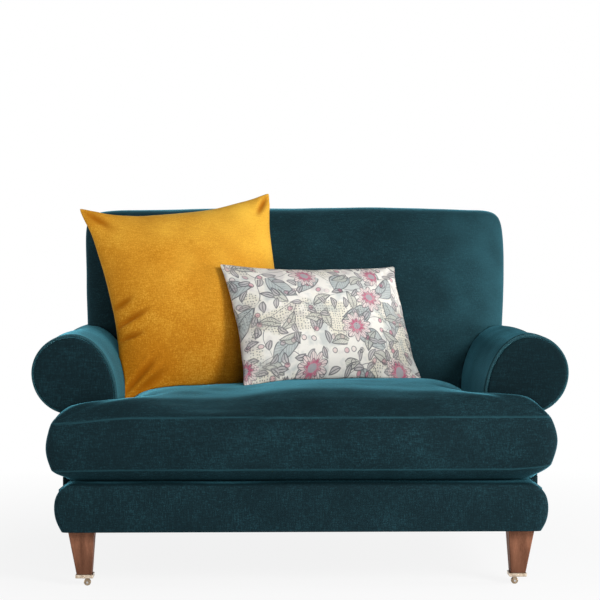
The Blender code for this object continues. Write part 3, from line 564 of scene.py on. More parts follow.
@dataclass(frozen=True)
class Wood:
    """Planed or polished wood with its grain along one axis."""

    deep: Colour
    pale: Colour
    along: Point
    roughness: float
    foot_shade: float = 0.0
    shine: float = 0.06

    def make(self, name: str) -> bpy.types.Material:
        """Return the material, under a name."""
        graph = Graph(name)
        place = graph.place()
        bend = graph.grain(place, (9.0, 9.0, 9.0), 2.0)
        bend = graph.node("ShaderNodeCombineXYZ", None,
                          {0: bend * 0.010, 1: bend * 0.012, 2: bend * 0.008})
        grown = graph.vector("ADD", place, bend)
        broad = graph.grain(grown, tuple(62.0 * (1.0 - a) + 3.0 for a in self.along), 3.0)
        pores = graph.grain(grown, tuple(700.0 * (1.0 - a) + 22.0 for a in self.along), 2.0, 0.7)
        figure = broad * 1.1 + pores * 0.5 - 0.30
        colour = graph.ramp(figure, ((0.22, self.deep), (0.78, self.pale)))
        if self.foot_shade:
            _, _, height = graph.axes(place)
            darkened = tuple(0.45 * part for part in self.deep)
            # Painted shade: the leg darker towards its foot.
            colour = graph.mix(height.below(0.062, 0.075) * self.foot_shade, colour, darkened)
        return graph.finish(
            base_color=colour,
            roughness=self.roughness + pores * 0.18,
            specular_ior_level=self.shine,
            normal=graph.bump(pores, 0.0003),
        )


@dataclass(frozen=True)
class Metal:
    """A plain or tarnished metal."""

    colour: Colour
    tarnish: Colour
    age: float
    roughness: float
    dark_below: float = 0.0

    def make(self, name: str) -> bpy.types.Material:
        """Return the material, under a name."""
        graph = Graph(name)
        place = graph.place()
        spots = graph.grain(place, (120.0, 120.0, 120.0), 5.0, 0.65)
        scratches = graph.grain(place, (1400.0, 300.0, 500.0), 2.0)
        darkened = spots.above(0.62 - self.age * 0.15, 0.30)
        if self.dark_below:
            _, _, height = graph.axes(place)
            darkened = darkened.most(height.below(self.dark_below, 0.004) * (spots * 0.8 + 0.6))
        return graph.finish(
            base_color=graph.mix(darkened * self.age, self.colour, self.tarnish),
            metallic=1.0,
            roughness=self.roughness + darkened * 0.22 + scratches * 0.10,
            normal=graph.bump(scratches, 0.00006),
        )


@dataclass(frozen=True)
class Moulding:
    """A plain moulded plastic."""

    colour: Colour
    roughness: float = 0.55

    def make(self, name: str) -> bpy.types.Material:
        """Return the material, under a name."""
        graph = Graph(name)
        place = graph.place()
        skin = graph.grain(place, (1800.0, 1800.0, 1800.0), 2.0)
        scuff = graph.grain(place, (90.0, 90.0, 90.0), 4.0)
        return graph.finish(
            base_color=graph.mix(scuff.above(0.6, 0.2) * 0.4, self.colour, (0.16, 0.155, 0.15)),
            roughness=self.roughness + scuff * 0.2,
            normal=graph.bump(skin, 0.00005),
        )


class Wardrobe:
    """Every finish of the chair, made once."""

    bare = (Slot.TIMBER, Slot.LEG, Slot.STEEL, Slot.BRASS, Slot.NYLON)

    def __init__(self) -> None:
        """Make the materials."""
        finishes = {
            Slot.TEAL: Velvet(
                (0.0034, 0.0100, 0.0125), (0.0070, 0.0208, 0.0262), (0.023, 0.084, 0.104),
                (0.20, 0.78, 1.0), 0.60, 0.30, slub=0.34, fleck=0.44, brushed_and_painted_highlight=0.30),
            # The piping is a paler copy of the teal velvet: a painted highlight along the cord.
            Slot.PIPING: Velvet(
                (0.008, 0.030, 0.038), (0.018, 0.060, 0.074), (0.045, 0.140, 0.165),
                (0.32, 0.80, 0.90), 1.0, 0.32, slub=0.55, fleck=0.35, brushed_and_painted_highlight=0.30),
            Slot.MUSTARD: Velvet(
                (0.36, 0.108, 0.003), (0.535, 0.186, 0.005), (0.88, 0.51, 0.062),
                (1.0, 0.84, 0.34), 0.40, 0.30, slub=0.35, fleck=0.70, brushed_and_painted_highlight=0.45),
            Slot.PRINTED: PrintedLinen(),
            Slot.DECK: PlainCloth((0.016, 0.048, 0.058), (0.040, 0.092, 0.104)),
            Slot.DUST: PlainCloth((0.010, 0.010, 0.011), (0.035, 0.035, 0.036), 600.0),
            Slot.TIMBER: Wood((0.36, 0.22, 0.11), (0.62, 0.45, 0.27), (1.0, 0.0, 0.0), 0.6),
            Slot.LEG: Wood(
                (0.140, 0.057, 0.032), (0.335, 0.144, 0.083), (0.0, 0.0, 1.0), 0.42, 0.58),
            Slot.STEEL: Metal((0.50, 0.50, 0.51), (0.22, 0.20, 0.18), 0.3, 0.30),
            Slot.BRASS: Metal((0.90, 0.76, 0.60), (0.15, 0.095, 0.045), 0.80, 0.16, 0.0215),
            Slot.NYLON: Moulding((0.035, 0.034, 0.033)),
        }
        self.materials = {slot: finish.make(slot.value) for slot, finish in finishes.items()}

    def dress_bare_nodes(self) -> None:
        """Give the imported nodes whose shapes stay, such as timber and castors, their finishes."""
        kept = {slot.value: self.materials[slot] for slot in self.bare}
        nodes = {part["node"]: kept[part["material_slot"]]
                 for part in frame["record"]["subparts"] if part["material_slot"] in kept}
        for node, material in nodes.items():
            for holder in frame["nodes"][node].material_slots:
                holder.material = material
        LOG.info("%d packed nodes dressed", len(nodes))

    def hang(self, piece: bpy.types.Object, slot: Slot, body: Body, node: str | None = None,
             fill: float | None = None) -> bpy.types.Object:
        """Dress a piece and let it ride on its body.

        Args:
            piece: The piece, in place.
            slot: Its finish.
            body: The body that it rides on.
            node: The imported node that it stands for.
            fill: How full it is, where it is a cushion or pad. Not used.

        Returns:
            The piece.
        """
        piece.data.materials.clear()
        piece.data.materials.append(self.materials[slot])
        is_mesh = piece.type == "MESH"
        if is_mesh:
            piece.data.shade_smooth()
        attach(piece, body.value)
        if node:
            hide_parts(node)
        faces = len(piece.data.polygons) if is_mesh else 0
        LOG.info("%s rides on %s, %d faces", piece.name, body.value, faces)
        return piece


@dataclass
class Upholstery:
    """A part of the chair that is dressed from the wardrobe."""

    wardrobe: Wardrobe

    def build(self) -> list[bpy.types.Object]:
        """Build and dress the part.

        Returns:
            Its pieces, the largest cover first.
        """
        raise NotImplementedError

    def cover(self, piece: bpy.types.Object, node: str | None = None,
              fill: float | None = None) -> bpy.types.Object:
        """Hang a piece in teal on the chair itself."""
        return self.wardrobe.hang(piece, Slot.TEAL, Body.CHAIR, node, fill)


def mesh_object(name: str, shape: bmesh.types.BMesh) -> bpy.types.Object:
    """Turn a bmesh into a linked object.

    Args:
        name: The object's name.
        shape: The bmesh, which is freed.

    Returns:
        The object.
    """
    bmesh.ops.recalc_face_normals(shape, faces=shape.faces)
    mesh = bpy.data.meshes.new(name)
    shape.to_mesh(mesh)
    shape.free()
    made = bpy.data.objects.new(name, mesh)
    bpy.context.scene.collection.objects.link(made)
    return made


def mirrored(shape: bmesh.types.BMesh, side: int) -> bmesh.types.BMesh:
    """Return a shape made for the right side, mirrored where the side is -1."""
    if side < 0:
        bmesh.ops.transform(shape, matrix=Matrix.Scale(-1, 4, Vector((1, 0, 0))), verts=shape.verts)
    return shape


def settle_modifiers(piece: bpy.types.Object) -> None:
    """Replace a piece's mesh by what its modifiers make of it."""
    depsgraph = bpy.context.evaluated_depsgraph_get()
    mesh = bpy.data.meshes.new_from_object(
        piece.evaluated_get(depsgraph), preserve_all_data_layers=True, depsgraph=depsgraph)
    mesh.name = piece.name
    piece.modifiers.clear()
    piece.data = mesh


def soften(piece: bpy.types.Object, levels: int) -> None:
    """Subdivide a piece smoothly, and keep the result."""
    step = piece.modifiers.new("soft", "SUBSURF")
    step.levels = levels
    step.render_levels = levels
    settle_modifiers(piece)


def carve(piece: bpy.types.Object, cutter: bpy.types.Object) -> None:
    """Take a cutting shape out of a piece, and keep the result."""
    step = piece.modifiers.new("carve", "BOOLEAN")
    step.operation = "DIFFERENCE"
    step.object = cutter
    settle_modifiers(piece)
    bpy.data.objects.remove(cutter)


def read_points(mesh: bpy.types.Mesh) -> np.ndarray:
    """Return a mesh's points as rows."""
    flat = np.empty(len(mesh.vertices) * 3)
    mesh.vertices.foreach_get("co", flat)
    return flat.reshape(-1, 3)


def read_normals(mesh: bpy.types.Mesh) -> np.ndarray:
    """Return a mesh's point normals as rows."""
    flat = np.empty(len(mesh.vertices) * 3, dtype=np.float32)
    mesh.vertex_normals.foreach_get("vector", flat)
    return flat.reshape(-1, 3).astype(float)


def write_points(mesh: bpy.types.Mesh, points: np.ndarray) -> None:
    """Move a mesh's points to these rows."""
    mesh.vertices.foreach_set("co", points.ravel())
    mesh.update()


def fade(values: np.ndarray, start: float, over: float) -> np.ndarray:
    """Return values that rise evenly from 0 at a start to 1 over a length."""
    return np.clip((values - start) / over, 0.0, 1.0)


def hump(away: np.ndarray, width: float) -> np.ndarray:
    """Return values that are 1 at no distance and fall off over a width."""
    return np.exp(-(away / width) ** 2)


def paint(mesh: bpy.types.Mesh, name: str, values: np.ndarray) -> None:
    """Keep a value for each point under a name, over the larger of the old and the new."""
    layer = mesh.attributes.get(name)
    if layer is None:
        layer = mesh.attributes.new(name, "FLOAT", "POINT")
    old = np.empty(len(values), dtype=np.float32)
    layer.data.foreach_get("value", old)
    layer.data.foreach_set("value", np.maximum(old, values).astype(np.float32))


def paint_nap_highlight(piece: bpy.types.Object, amount: Callable[[np.ndarray], np.ndarray], scale: float,
          seed: float) -> None:
    """Paint the pile lighter in soft patches: a painted highlight, partly real brushing of the
    pile.

    Args:
        piece: The piece.
        amount: How much lighter each point is, from 0 to 1.
        scale: Patches per metre.
        seed: Where their noise is read.
    """
    points = read_points(piece.data)
    patches = np.array([noise.noise(Vector(row)) for row in points * scale + seed])
    paint(piece.data, "nap", np.clip(amount(points) * (1.0 + 0.6 * patches), 0.0, 1.0))


def rumple(piece: bpy.types.Object, height: float, scale: Point, seed: float,
           weight: Callable[[np.ndarray], np.ndarray] | None = None) -> None:
    """Push a piece's surface in and out by a smooth noise.

    Args:
        piece: The piece.
        height: The noise's height in metres.
        scale: Waves per metre along each axis.
        seed: Where the noise is read.
        weight: How much each point moves, where it isn't the same everywhere.
    """
    points = read_points(piece.data)
    stretched = points * np.array(scale) + seed
    push = np.array([noise.noise(Vector(row)) for row in stretched]) * height
    if weight is not None:
        push *= weight(points)
    write_points(piece.data, points + read_normals(piece.data) * push[:, None])


@dataclass(frozen=True)
class Fold:
    """One crease in a cover, along a straight run between two places, in space or on its plan."""

    start: tuple[float, ...]
    end: tuple[float, ...]
    depth: float = 0.004
    width: float = 0.006

    def press(self, points: np.ndarray) -> tuple[np.ndarray, np.ndarray]:
        """Say how far the crease moves each point along its normal.

        Args:
            points: The points.

        Returns:
            The moves, and the crease's shade from 0 to 1.
        """
        start = np.array(self.start)[:points.shape[1]]
        run = np.array(self.end)[:points.shape[1]] - start
        share = np.clip(((points - start) @ run) / (run @ run), 0.0, 1.0)
        nearest = start + share[:, None] * run
        away = np.linalg.norm(points - nearest, axis=1)
        reach = np.sin(np.pi * (0.08 + 0.84 * share)) * hump(away, self.width)
        ridge = hump(away - 1.9 * self.width, self.width) * np.sin(np.pi * share)
        return -self.depth * reach + self.depth * 0.25 * ridge, reach


def crease_cover(piece: bpy.types.Object, folds: Iterable[Fold], flat: bool = False) -> None:
    """Press creases into a piece, and paint shade into them.

    Args:
        piece: The piece.
        folds: The creases.
        flat: Whether they are drawn on the plan of the piece's shown panel, which faces +Z.
    """
    start = read_points(piece.data)
    normals = read_normals(piece.data)
    points = start.copy()
    shown = np.clip(start[:, 2] / 0.004, 0.0, 1.0) if flat else np.ones(len(start))
    for fold_and_painted_shade in folds:
        push, shade = fold_and_painted_shade.press(start[:, :2] if flat else start)
        points += normals * (push * shown)[:, None]
        # Painted shade along each crease.
        paint(piece.data, "fold_and_painted_shade", shade * shown * 0.8)
    write_points(piece.data, points)


@dataclass(frozen=True)
class Swelling:
    """How a cover swells over its filling."""

    pressure: float
    cap: float
    frames: int = 20
    stiffness = {"tension": 25.0, "compression": 12.0, "shear": 8.0, "bending": 1.2}

    def fill(self, piece: bpy.types.Object, held: Callable[[np.ndarray], np.ndarray]) -> None:
        """Let the cover swell, and keep the result.

        Args:
            piece: The piece.
            held: How firmly each point is held, from 0 to 1.
        """
        start = read_points(piece.data)
        group = piece.vertex_groups.new(name="held")
        for index, weight in enumerate(held(start)):
            if weight > 0.01:
                group.add([index], float(weight), "REPLACE")
        cloth = piece.modifiers.new("cover", "CLOTH")
        cloth.settings.use_pressure = True
        cloth.settings.uniform_pressure_force = self.pressure
        cloth.settings.effector_weights.gravity = 0.0
        cloth.settings.vertex_group_mass = group.name
        for kind, value in self.stiffness.items():
            setattr(cloth.settings, f"{kind}_stiffness", value)
        cloth.collision_settings.use_collision = False
        cloth.collision_settings.use_self_collision = False
        cloth.point_cache.frame_end = self.frames
        scene = bpy.context.scene
        for number in range(1, self.frames + 1):
            scene.frame_set(number)
        settle_modifiers(piece)
        scene.frame_set(1)
        piece.vertex_groups.clear()
        moved = read_points(piece.data) - start
        length = np.linalg.norm(moved, axis=1, keepdims=True)
        capped = self.cap * np.tanh(length / self.cap)
        held_back = np.where(length > 0, capped / np.maximum(length, 1e-9), 1.0)
        write_points(piece.data, start + moved * held_back)
        LOG.info("%s swelled by %.1f mm at most, %.1f mm before the cap", piece.name,
                 1000 * float((length * held_back).max()), 1000 * float(length.max()))


def solid_tree(piece: bpy.types.Object) -> BVHTree:
    """Return a search tree of a piece's faces."""
    mesh = piece.data
    return BVHTree.FromPolygons([point.co.copy() for point in mesh.vertices],
                                [tuple(face.vertices) for face in mesh.polygons])


def lie_against(piece: bpy.types.Object, neighbour: BVHTree, away: Vector) -> None:
    """Press a soft piece flat where it would enter its neighbour.

    Args:
        piece: The soft piece.
        neighbour: The search tree of what it leans on.
        away: The direction in which it gives way, a unit vector.
    """
    far, gap = 3.0, 2 * HAIR
    points = read_points(piece.data)
    for index, row in enumerate(points):
        point = Vector(row)
        hit, _, _, distance = neighbour.ray_cast(point + away * far, -away)
        if hit is not None and distance > 0:
            excess = distance - far
            if excess < gap:
                points[index] = point + away * (gap - excess)
    write_points(piece.data, points)


def arc(centre: tuple[float, float], radii: tuple[float, float], start: float, end: float,
        steps: int) -> Outline:
    """Return points along an elliptical arc, both ends included, with angles in degrees."""
    angles = np.radians(np.linspace(start, end, steps + 1))
    return [(centre[0] + radii[0] * math.cos(angle), centre[1] + radii[1] * math.sin(angle))
            for angle in angles]


def closed_slab(rows: int, columns: int, place: Callable[[float, float, int], Point],
                shared_rim: bool = False) -> bmesh.types.BMesh:
    """Make a closed form of two skins over one grid.

    Args:
        rows: Grid rows.
        columns: Grid columns.
        place: Gives a point for u and v from 0 to 1, and 0 for the hidden or 1 for the shown skin.
        shared_rim: Whether the skins share their rim, as a cushion's two panels do.

    Returns:
        The bmesh, with a "panel" UV map in the grid's own units.
    """
    shape = bmesh.new()
    layer = shape.loops.layers.uv.new("panel")
    skins: list[list[list[bmesh.types.BMVert]]] = []
    for skin in (0, 1):
        grid = []
        for row in range(rows + 1):
            line = []
            for column in range(columns + 1):
                on_rim = row in (0, rows) or column in (0, columns)
                if skin and shared_rim and on_rim:
                    line.append(skins[0][row][column])
                else:
                    line.append(shape.verts.new(place(column / columns, row / rows, skin)))
            grid.append(line)
        skins.append(grid)
    for skin, grid in enumerate(skins):
        for row in range(rows):
            for column in range(columns):
                corners = ((row, column), (row, column + 1),
                           (row + 1, column + 1), (row + 1, column))
                face = shape.faces.new([grid[r][c] for r, c in corners])
                for loop, (r, c) in zip(face.loops, corners):
                    loop[layer].uv = (c / columns + skin * 1.7, r / rows)
    if not shared_rim:
        rim = [(0, c) for c in range(columns)] + [(r, columns) for r in range(rows)]
        rim += [(rows, c) for c in range(columns, 0, -1)] + [(r, 0) for r in range(rows, 0, -1)]
        for (r, c), (s, d) in zip(rim, rim[1:] + rim[:1]):
            shape.faces.new((skins[0][r][c], skins[0][s][d], skins[1][s][d], skins[1][r][c]))
    return shape


def loft(rings: Sequence[Sequence[Point]]) -> bmesh.types.BMesh:
    """Join closed rings of equal count in order, with a flat face on each end."""
    shape = bmesh.new()
    loops = [[shape.verts.new(point) for point in ring] for ring in rings]
    count = len(loops[0])
    for near, far in zip(loops, loops[1:]):
        for index in range(count):
            after = (index + 1) % count
            shape.faces.new((near[index], near[after], far[after], far[index]))
    shape.faces.new(list(reversed(loops[0])))
    shape.faces.new(loops[-1])
    return shape


def slice_at(shape: bmesh.types.BMesh, cuts: Sequence[Sequence[float]]) -> None:
    """Cut edge loops through a shape at places along x, y and z."""
    for axis, places in enumerate(cuts):
        normal = Vector([float(index == axis) for index in range(3)])
        for place in places:
            geometry = shape.verts[:] + shape.edges[:] + shape.faces[:]
            bmesh.ops.bisect_plane(
                shape, geom=geometry, dist=1e-5, plane_co=normal * place, plane_no=normal)


def sliced_block(low: Point, high: Point,
                 cuts: Sequence[Sequence[float]] = ()) -> bmesh.types.BMesh:
    """Return a box between two corners, with edge loops at places along x, y and z."""
    shape = bmesh.new()
    bmesh.ops.create_cube(shape, size=1.0)
    for point in shape.verts:
        point.co = Vector([low[i] if point.co[i] < 0 else high[i] for i in range(3)])
    slice_at(shape, cuts)
    return shape


def crease_edges(shape: bmesh.types.BMesh, chosen: Callable[[Vector], bool], amount: float) -> None:
    """Crease the edges whose two ends are both chosen."""
    layers = shape.edges.layers.float
    layer = layers.get("crease_edge") or layers.new("crease_edge")
    for edge in shape.edges:
        if all(chosen(point.co) for point in edge.verts):
            edge[layer] = max(edge[layer], amount)


def tube(name: str, route: Sequence[Point], radius: float) -> bpy.types.Object:
    """Return a round cord of a radius that follows a route."""
    data = bpy.data.curves.new(name, "CURVE")
    data.dimensions = "3D"
    data.bevel_depth = radius
    data.bevel_resolution = 4
    data.use_fill_caps = True
    spline = data.splines.new("POLY")
    spline.points.add(len(route) - 1)
    for target, point in zip(spline.points, route):
        target.co = (*point, 1.0)
    made = bpy.data.objects.new(name, data)
    bpy.context.scene.collection.objects.link(made)
    return made


@dataclass(frozen=True)
class Plan:
    """The chair's main planes and radii, as its solids have them."""

    floor_clearance: float = 0.138
    border_top: float = 0.256
    seat_foot: float = 0.2563
    arm_in_x: float = 0.451
    arm_out_x: float = 0.585
    arm_front_y: float = -0.350
    arm_top: float = 0.607
    arm_curve_z: float = 0.440
    roll_x: float = 0.562
    roll_z: float = 0.512
    roll_reach: float = 0.100
    roll_drop: float = 0.103
    frame_front_y: float = 0.4121
    frame_rear_y: float = 0.4421
    frame_top: float = 0.8943
    post_out_x: float = 0.543
    rear_y: float = 0.4524
    lean_from_z: float = 0.228
    lean_share: float = 0.055
    base_front_y: float = -0.466
    back_height: float = 0.936
    back_drop: float = 0.008
    back_tilt: float = 0.004
    back_half: float = 0.595
    back_waist_half: float = 0.580
    back_widest_z: float = 0.800
    inside_back_y: float = 0.130
    inside_back_slope: float = 0.29
    inside_back_bend_z: float = 0.430

    def lean(self, z: float) -> float:
        """Return how far the back has leant to the rear at a height."""
        return max(0.0, z - self.lean_from_z) * self.lean_share

    def roll(self, inset: float, outer_x: float, steps: int) -> Outline:
        """Return the right arm's section over its roll.

        Args:
            inset: How far it is drawn in.
            outer_x: Where it ends, below the roll.
            steps: Steps in each of its three arcs.

        Returns:
            Its points in x and z.
        """
        reach = self.roll_reach - inset
        end = -math.degrees(math.acos((outer_x - self.roll_x) / reach))
        top, centre = self.arm_top - inset, (self.roll_x, self.roll_z)
        inner = (self.roll_x - self.arm_in_x - inset, top - self.arm_curve_z)
        points = arc((self.roll_x, self.arm_curve_z), inner, 180, 90, steps)
        points += arc(centre, (reach, top - self.roll_z), 90, 0, steps)[1:]
        points += arc(centre, (reach, self.roll_drop - inset), 0, end, steps)[1:]
        return points

    def neck_z(self) -> float:
        """Return the height at which the roll's underside meets the outside arm."""
        return self.roll(0.0, self.arm_out_x, 4)[-1][1]

    def back_half_width(self, z: float) -> float:
        """Return half the back's width at a height."""
        share = min(1.0, max(0.0, (z - self.arm_top) / (self.back_widest_z - self.arm_top)))
        growth = self.back_half - self.back_waist_half
        return self.back_waist_half + growth * math.sin(share * math.pi / 2)

    def back_top(self, x: float) -> float:
        """Return the height of the back's top at a distance from its middle."""
        across = x / self.back_half
        return self.back_height - self.back_drop * across ** 2 + self.back_tilt * across


PLAN = Plan()


def leaning_block(low: Point, high: Point) -> bmesh.types.BMesh:
    """Return a box between two corners that leans as the back does."""
    shape = sliced_block(low, high)
    for point in shape.verts:
        point.co.y += PLAN.lean(point.co.z)
    return shape


def rim_drop(u: float, v: float, size: tuple[float, float], drop: float, over: float) -> float:
    """Return how far a panel's face falls away near its rim.

    Args:
        u: The place across it, from 0 to 1.
        v: The place along it, from 0 to 1.
        size: Its sizes across and along.
        drop: The fall at the rim.
        over: The distance from the rim at which the fall starts.

    Returns:
        The fall.
    """
    edge = min(min(u, 1 - u) * size[0], min(v, 1 - v) * size[1])
    return drop * max(0.0, 1 - edge / over) ** 2


@dataclass
class Arm(Upholstery):
    """A scroll arm: its padded cover, front facing, piping and outside panel."""

    side: int
    hand: str
    cover_thickness: float = 0.022
    cover_edge: float = 0.006
    cover_steps: int = 64
    arc_steps: int = 22
    wall_steps: int = 8
    facing_centre: tuple[float, float] = (0.525, 0.445)
    facing_inset: float = 0.0075
    facing_front_y: float = -0.3625
    # The painted shade on the left and right facings.
    facing_painted_shade: tuple[float, float] = (0.15, 0.38)
    piping_radius: float = 0.0033
    piping_inset: float = 0.0042
    panel_thickness: float = 0.010
    panel_crown: float = 0.0022
    panel_edge: tuple[float, float] = (0.003, 0.005)
    return_depth: float = 0.0036
    return_edge: tuple[float, float] = (0.0024, 0.004)
    return_in_x: float = 0.535
    # The painted highlight on the left arm's inner roll, and the painted shade on the right arm's
    # roll.
    brushed_and_painted_highlight: float = 0.95
    painted_shade: float = 0.80
    # How far the facing's outline has shrunk, and how far it has come forward.
    facing_steps = ((1.0, 0.0), (1.0, 0.5), (0.995, 0.72), (0.98, 0.84), (0.94, 0.91),
                    (0.86, 0.955), (0.72, 0.98), (0.52, 0.993), (0.30, 1.0), (0.10, 1.0))

    def _make(self, name: str, shape: bmesh.types.BMesh) -> bpy.types.Object:
        """Return the object of a shape that was drawn for the right arm."""
        return mesh_object(f"{name}_{self.hand}", mirrored(shape, self.side))

    def _wall(self, inset: float) -> Outline:
        """Return the points up the arm's inside, drawn in by inset."""
        heights = np.linspace(PLAN.seat_foot, PLAN.arm_curve_z, self.wall_steps + 1)
        return [(PLAN.arm_in_x + inset, z) for z in heights[:-1]]

    def _cover(self) -> bpy.types.Object:
        """Make the cover that wraps the inside of the arm and its roll."""
        thick, edge, end_x = self.cover_thickness, self.cover_edge, PLAN.arm_out_x + HAIR
        hidden = [*reversed(PLAN.roll(thick, end_x, 8)), (PLAN.arm_in_x + thick, PLAN.seat_foot)]
        length = PLAN.frame_rear_y - PLAN.arm_front_y
        rings = []
        for depth in (0.0, 0.0015, 0.0035, edge, *np.linspace(edge, length, self.cover_steps)[1:]):
            short = max(0.0, 1.0 - depth / edge)
            inset = edge * (1.0 - math.sqrt(max(0.0, 1.0 - short ** 2)))
            ring = self._wall(inset) + PLAN.roll(inset, end_x, self.arc_steps) + hidden
            share = depth / length
            rings.append([(x, PLAN.arm_front_y + depth + PLAN.lean(z) * share, z) for x, z in ring])
        cover = self._make("arm_cover", loft(rings))
        carve(cover, self._make("slot", leaning_block(
            (PLAN.arm_in_x - 0.05, PLAN.frame_front_y - 0.0005, PLAN.lean_from_z),
            (PLAN.post_out_x, PLAN.frame_rear_y + 0.08, PLAN.arm_top + 0.03))))
        rumple(cover, 0.0050, (5.0, 4.5, 5.0), 3.1 + self.side,
               lambda points: fade(points[:, 1], PLAN.arm_front_y, 0.08))
        rumple(cover, 0.0012, (16.0, 12.0, 16.0), 5.3 + self.side,
               lambda points: fade(points[:, 1], PLAN.arm_front_y, 0.03))
        points = read_points(cover.data)
        # Painted highlight along the cover's front edge, beside the piping.
        paint(cover.data, "seam_painted_highlight", hump(points[:, 1] - PLAN.arm_front_y, 0.004) * 0.5)
        # The left arm's inner roll gets a painted highlight; the right arm's roll gets painted
        # shade.
        if self.side < 0:
            inner = fade(points[:, 0] + PLAN.roll_x, -0.03, 0.07) * fade(points[:, 2], 0.36, 0.10)
            paint_nap_highlight(cover, lambda points: self.brushed_and_painted_highlight * inner, 12.0, 8.5)
        else:
            paint(cover.data, "fold_and_painted_shade", self.painted_shade * fade(points[:, 2], PLAN.roll_z, 0.09))
        return self.cover(cover, f"arm_pad_{self.hand}", 0.85)

    def _facing(self) -> bpy.types.Object:
        """Make the flat padded facing on the arm's front."""
        inset, foot = self.facing_inset, PLAN.seat_foot
        outer = PLAN.arm_out_x - inset
        line = PLAN.roll(inset, outer, self.arc_steps)
        outline = self._wall(inset) + line
        outline += [(outer, z) for z in np.linspace(line[-1][1], foot, 8)[1:]]
        outline += [(x, foot) for x in np.linspace(outer, PLAN.arm_in_x + inset, 8)[1:-1]]
        middle_x, middle_z = self.facing_centre
        rear = PLAN.arm_front_y - HAIR
        rings = []
        for shrink, rise in self.facing_steps:
            y = rear + (self.facing_front_y - rear) * rise
            rings.append([(middle_x + (x - middle_x) * shrink, y,
                           max(foot, middle_z + (z - middle_z) * shrink)) for x, z in outline])
        shape = loft(rings)
        crease_edges(shape, lambda point: point.z < foot + HAIR, 1.0)
        facing = self._make("arm_facing_cover", shape)
        soften(facing, 1)
        rumple(facing, 0.0009, (14.0, 3.0, 14.0), 8.4 + self.side)
        # Painted shade all over the facing, darker on the right arm.
        facing_shade_amount = self.facing_painted_shade[self.side > 0]
        paint(facing.data, "fold_and_painted_shade", np.full(len(facing.data.vertices), facing_shade_amount))
        return self.cover(facing, f"arm_facing_{self.hand}", 0.9)

    def _piping(self) -> bpy.types.Object:
        """Make the covered cord between the facing and the cover."""
        inner_x, outer_x = PLAN.arm_in_x + self.piping_inset, PLAN.arm_out_x - self.piping_inset
        foot = PLAN.seat_foot + 0.001
        route = [(inner_x, foot), *PLAN.roll(self.piping_inset, outer_x, 30), (outer_x, foot)]
        y = PLAN.arm_front_y - self.piping_radius - 2 * HAIR
        cord = tube(f"arm_piping_{self.hand}", [(x * self.side, y, z) for x, z in route],
                    self.piping_radius)
        return self.wardrobe.hang(cord, Slot.PIPING, Body.CHAIR, f"facing_piping_{self.hand}")

    def _outside_panel(self) -> bpy.types.Object:
        """Make the outside of the arm, below its roll."""
        foot, top = PLAN.floor_clearance, PLAN.neck_z() - HAIR
        length = PLAN.frame_rear_y - PLAN.arm_front_y

        def place(u: float, v: float, skin: int) -> Point:
            z = foot + (top - foot) * v
            y = PLAN.arm_front_y + length * u + PLAN.lean(z) * u
            swell = self.panel_crown * math.sin(math.pi * u) * math.sin(math.pi * v)
            drop = rim_drop(u, v, (length, top - foot), *self.panel_edge)
            x = PLAN.arm_out_x + swell - drop if skin else PLAN.arm_out_x - self.panel_thickness
            return x, y, z

        panel = self._make("outside_arm_cover", closed_slab(40, 110, place))
        rumple(panel, 0.0008, (6.0, 6.0, 6.0), 5.2 + self.side)
        return self.cover(panel, f"outside_arm_{self.hand}", 0.9)

    def _front_return(self) -> bpy.types.Object:
        """Make the cloth that is drawn round the arm's front, below the facing."""
        rear = PLAN.arm_front_y - 0.0004
        foot, top = PLAN.floor_clearance, PLAN.seat_foot
        fall, over = self.return_edge

        def place(u: float, v: float, skin: int) -> Point:
            x = self.return_in_x + (PLAN.arm_out_x - self.return_in_x) * u
            drop = fall * max(0.0, 1 - (PLAN.arm_out_x - x) / over) ** 2
            y = rear - self.return_depth + drop if skin else rear
            return x, y, foot + (top - foot) * v

        return self.cover(self._make("arm_front_return", closed_slab(24, 18, place)))

    def build(self) -> list[bpy.types.Object]:
        """Build and dress the arm."""
        return [self._cover(), self._facing(), self._piping(), self._outside_panel(),
                self._front_return()]


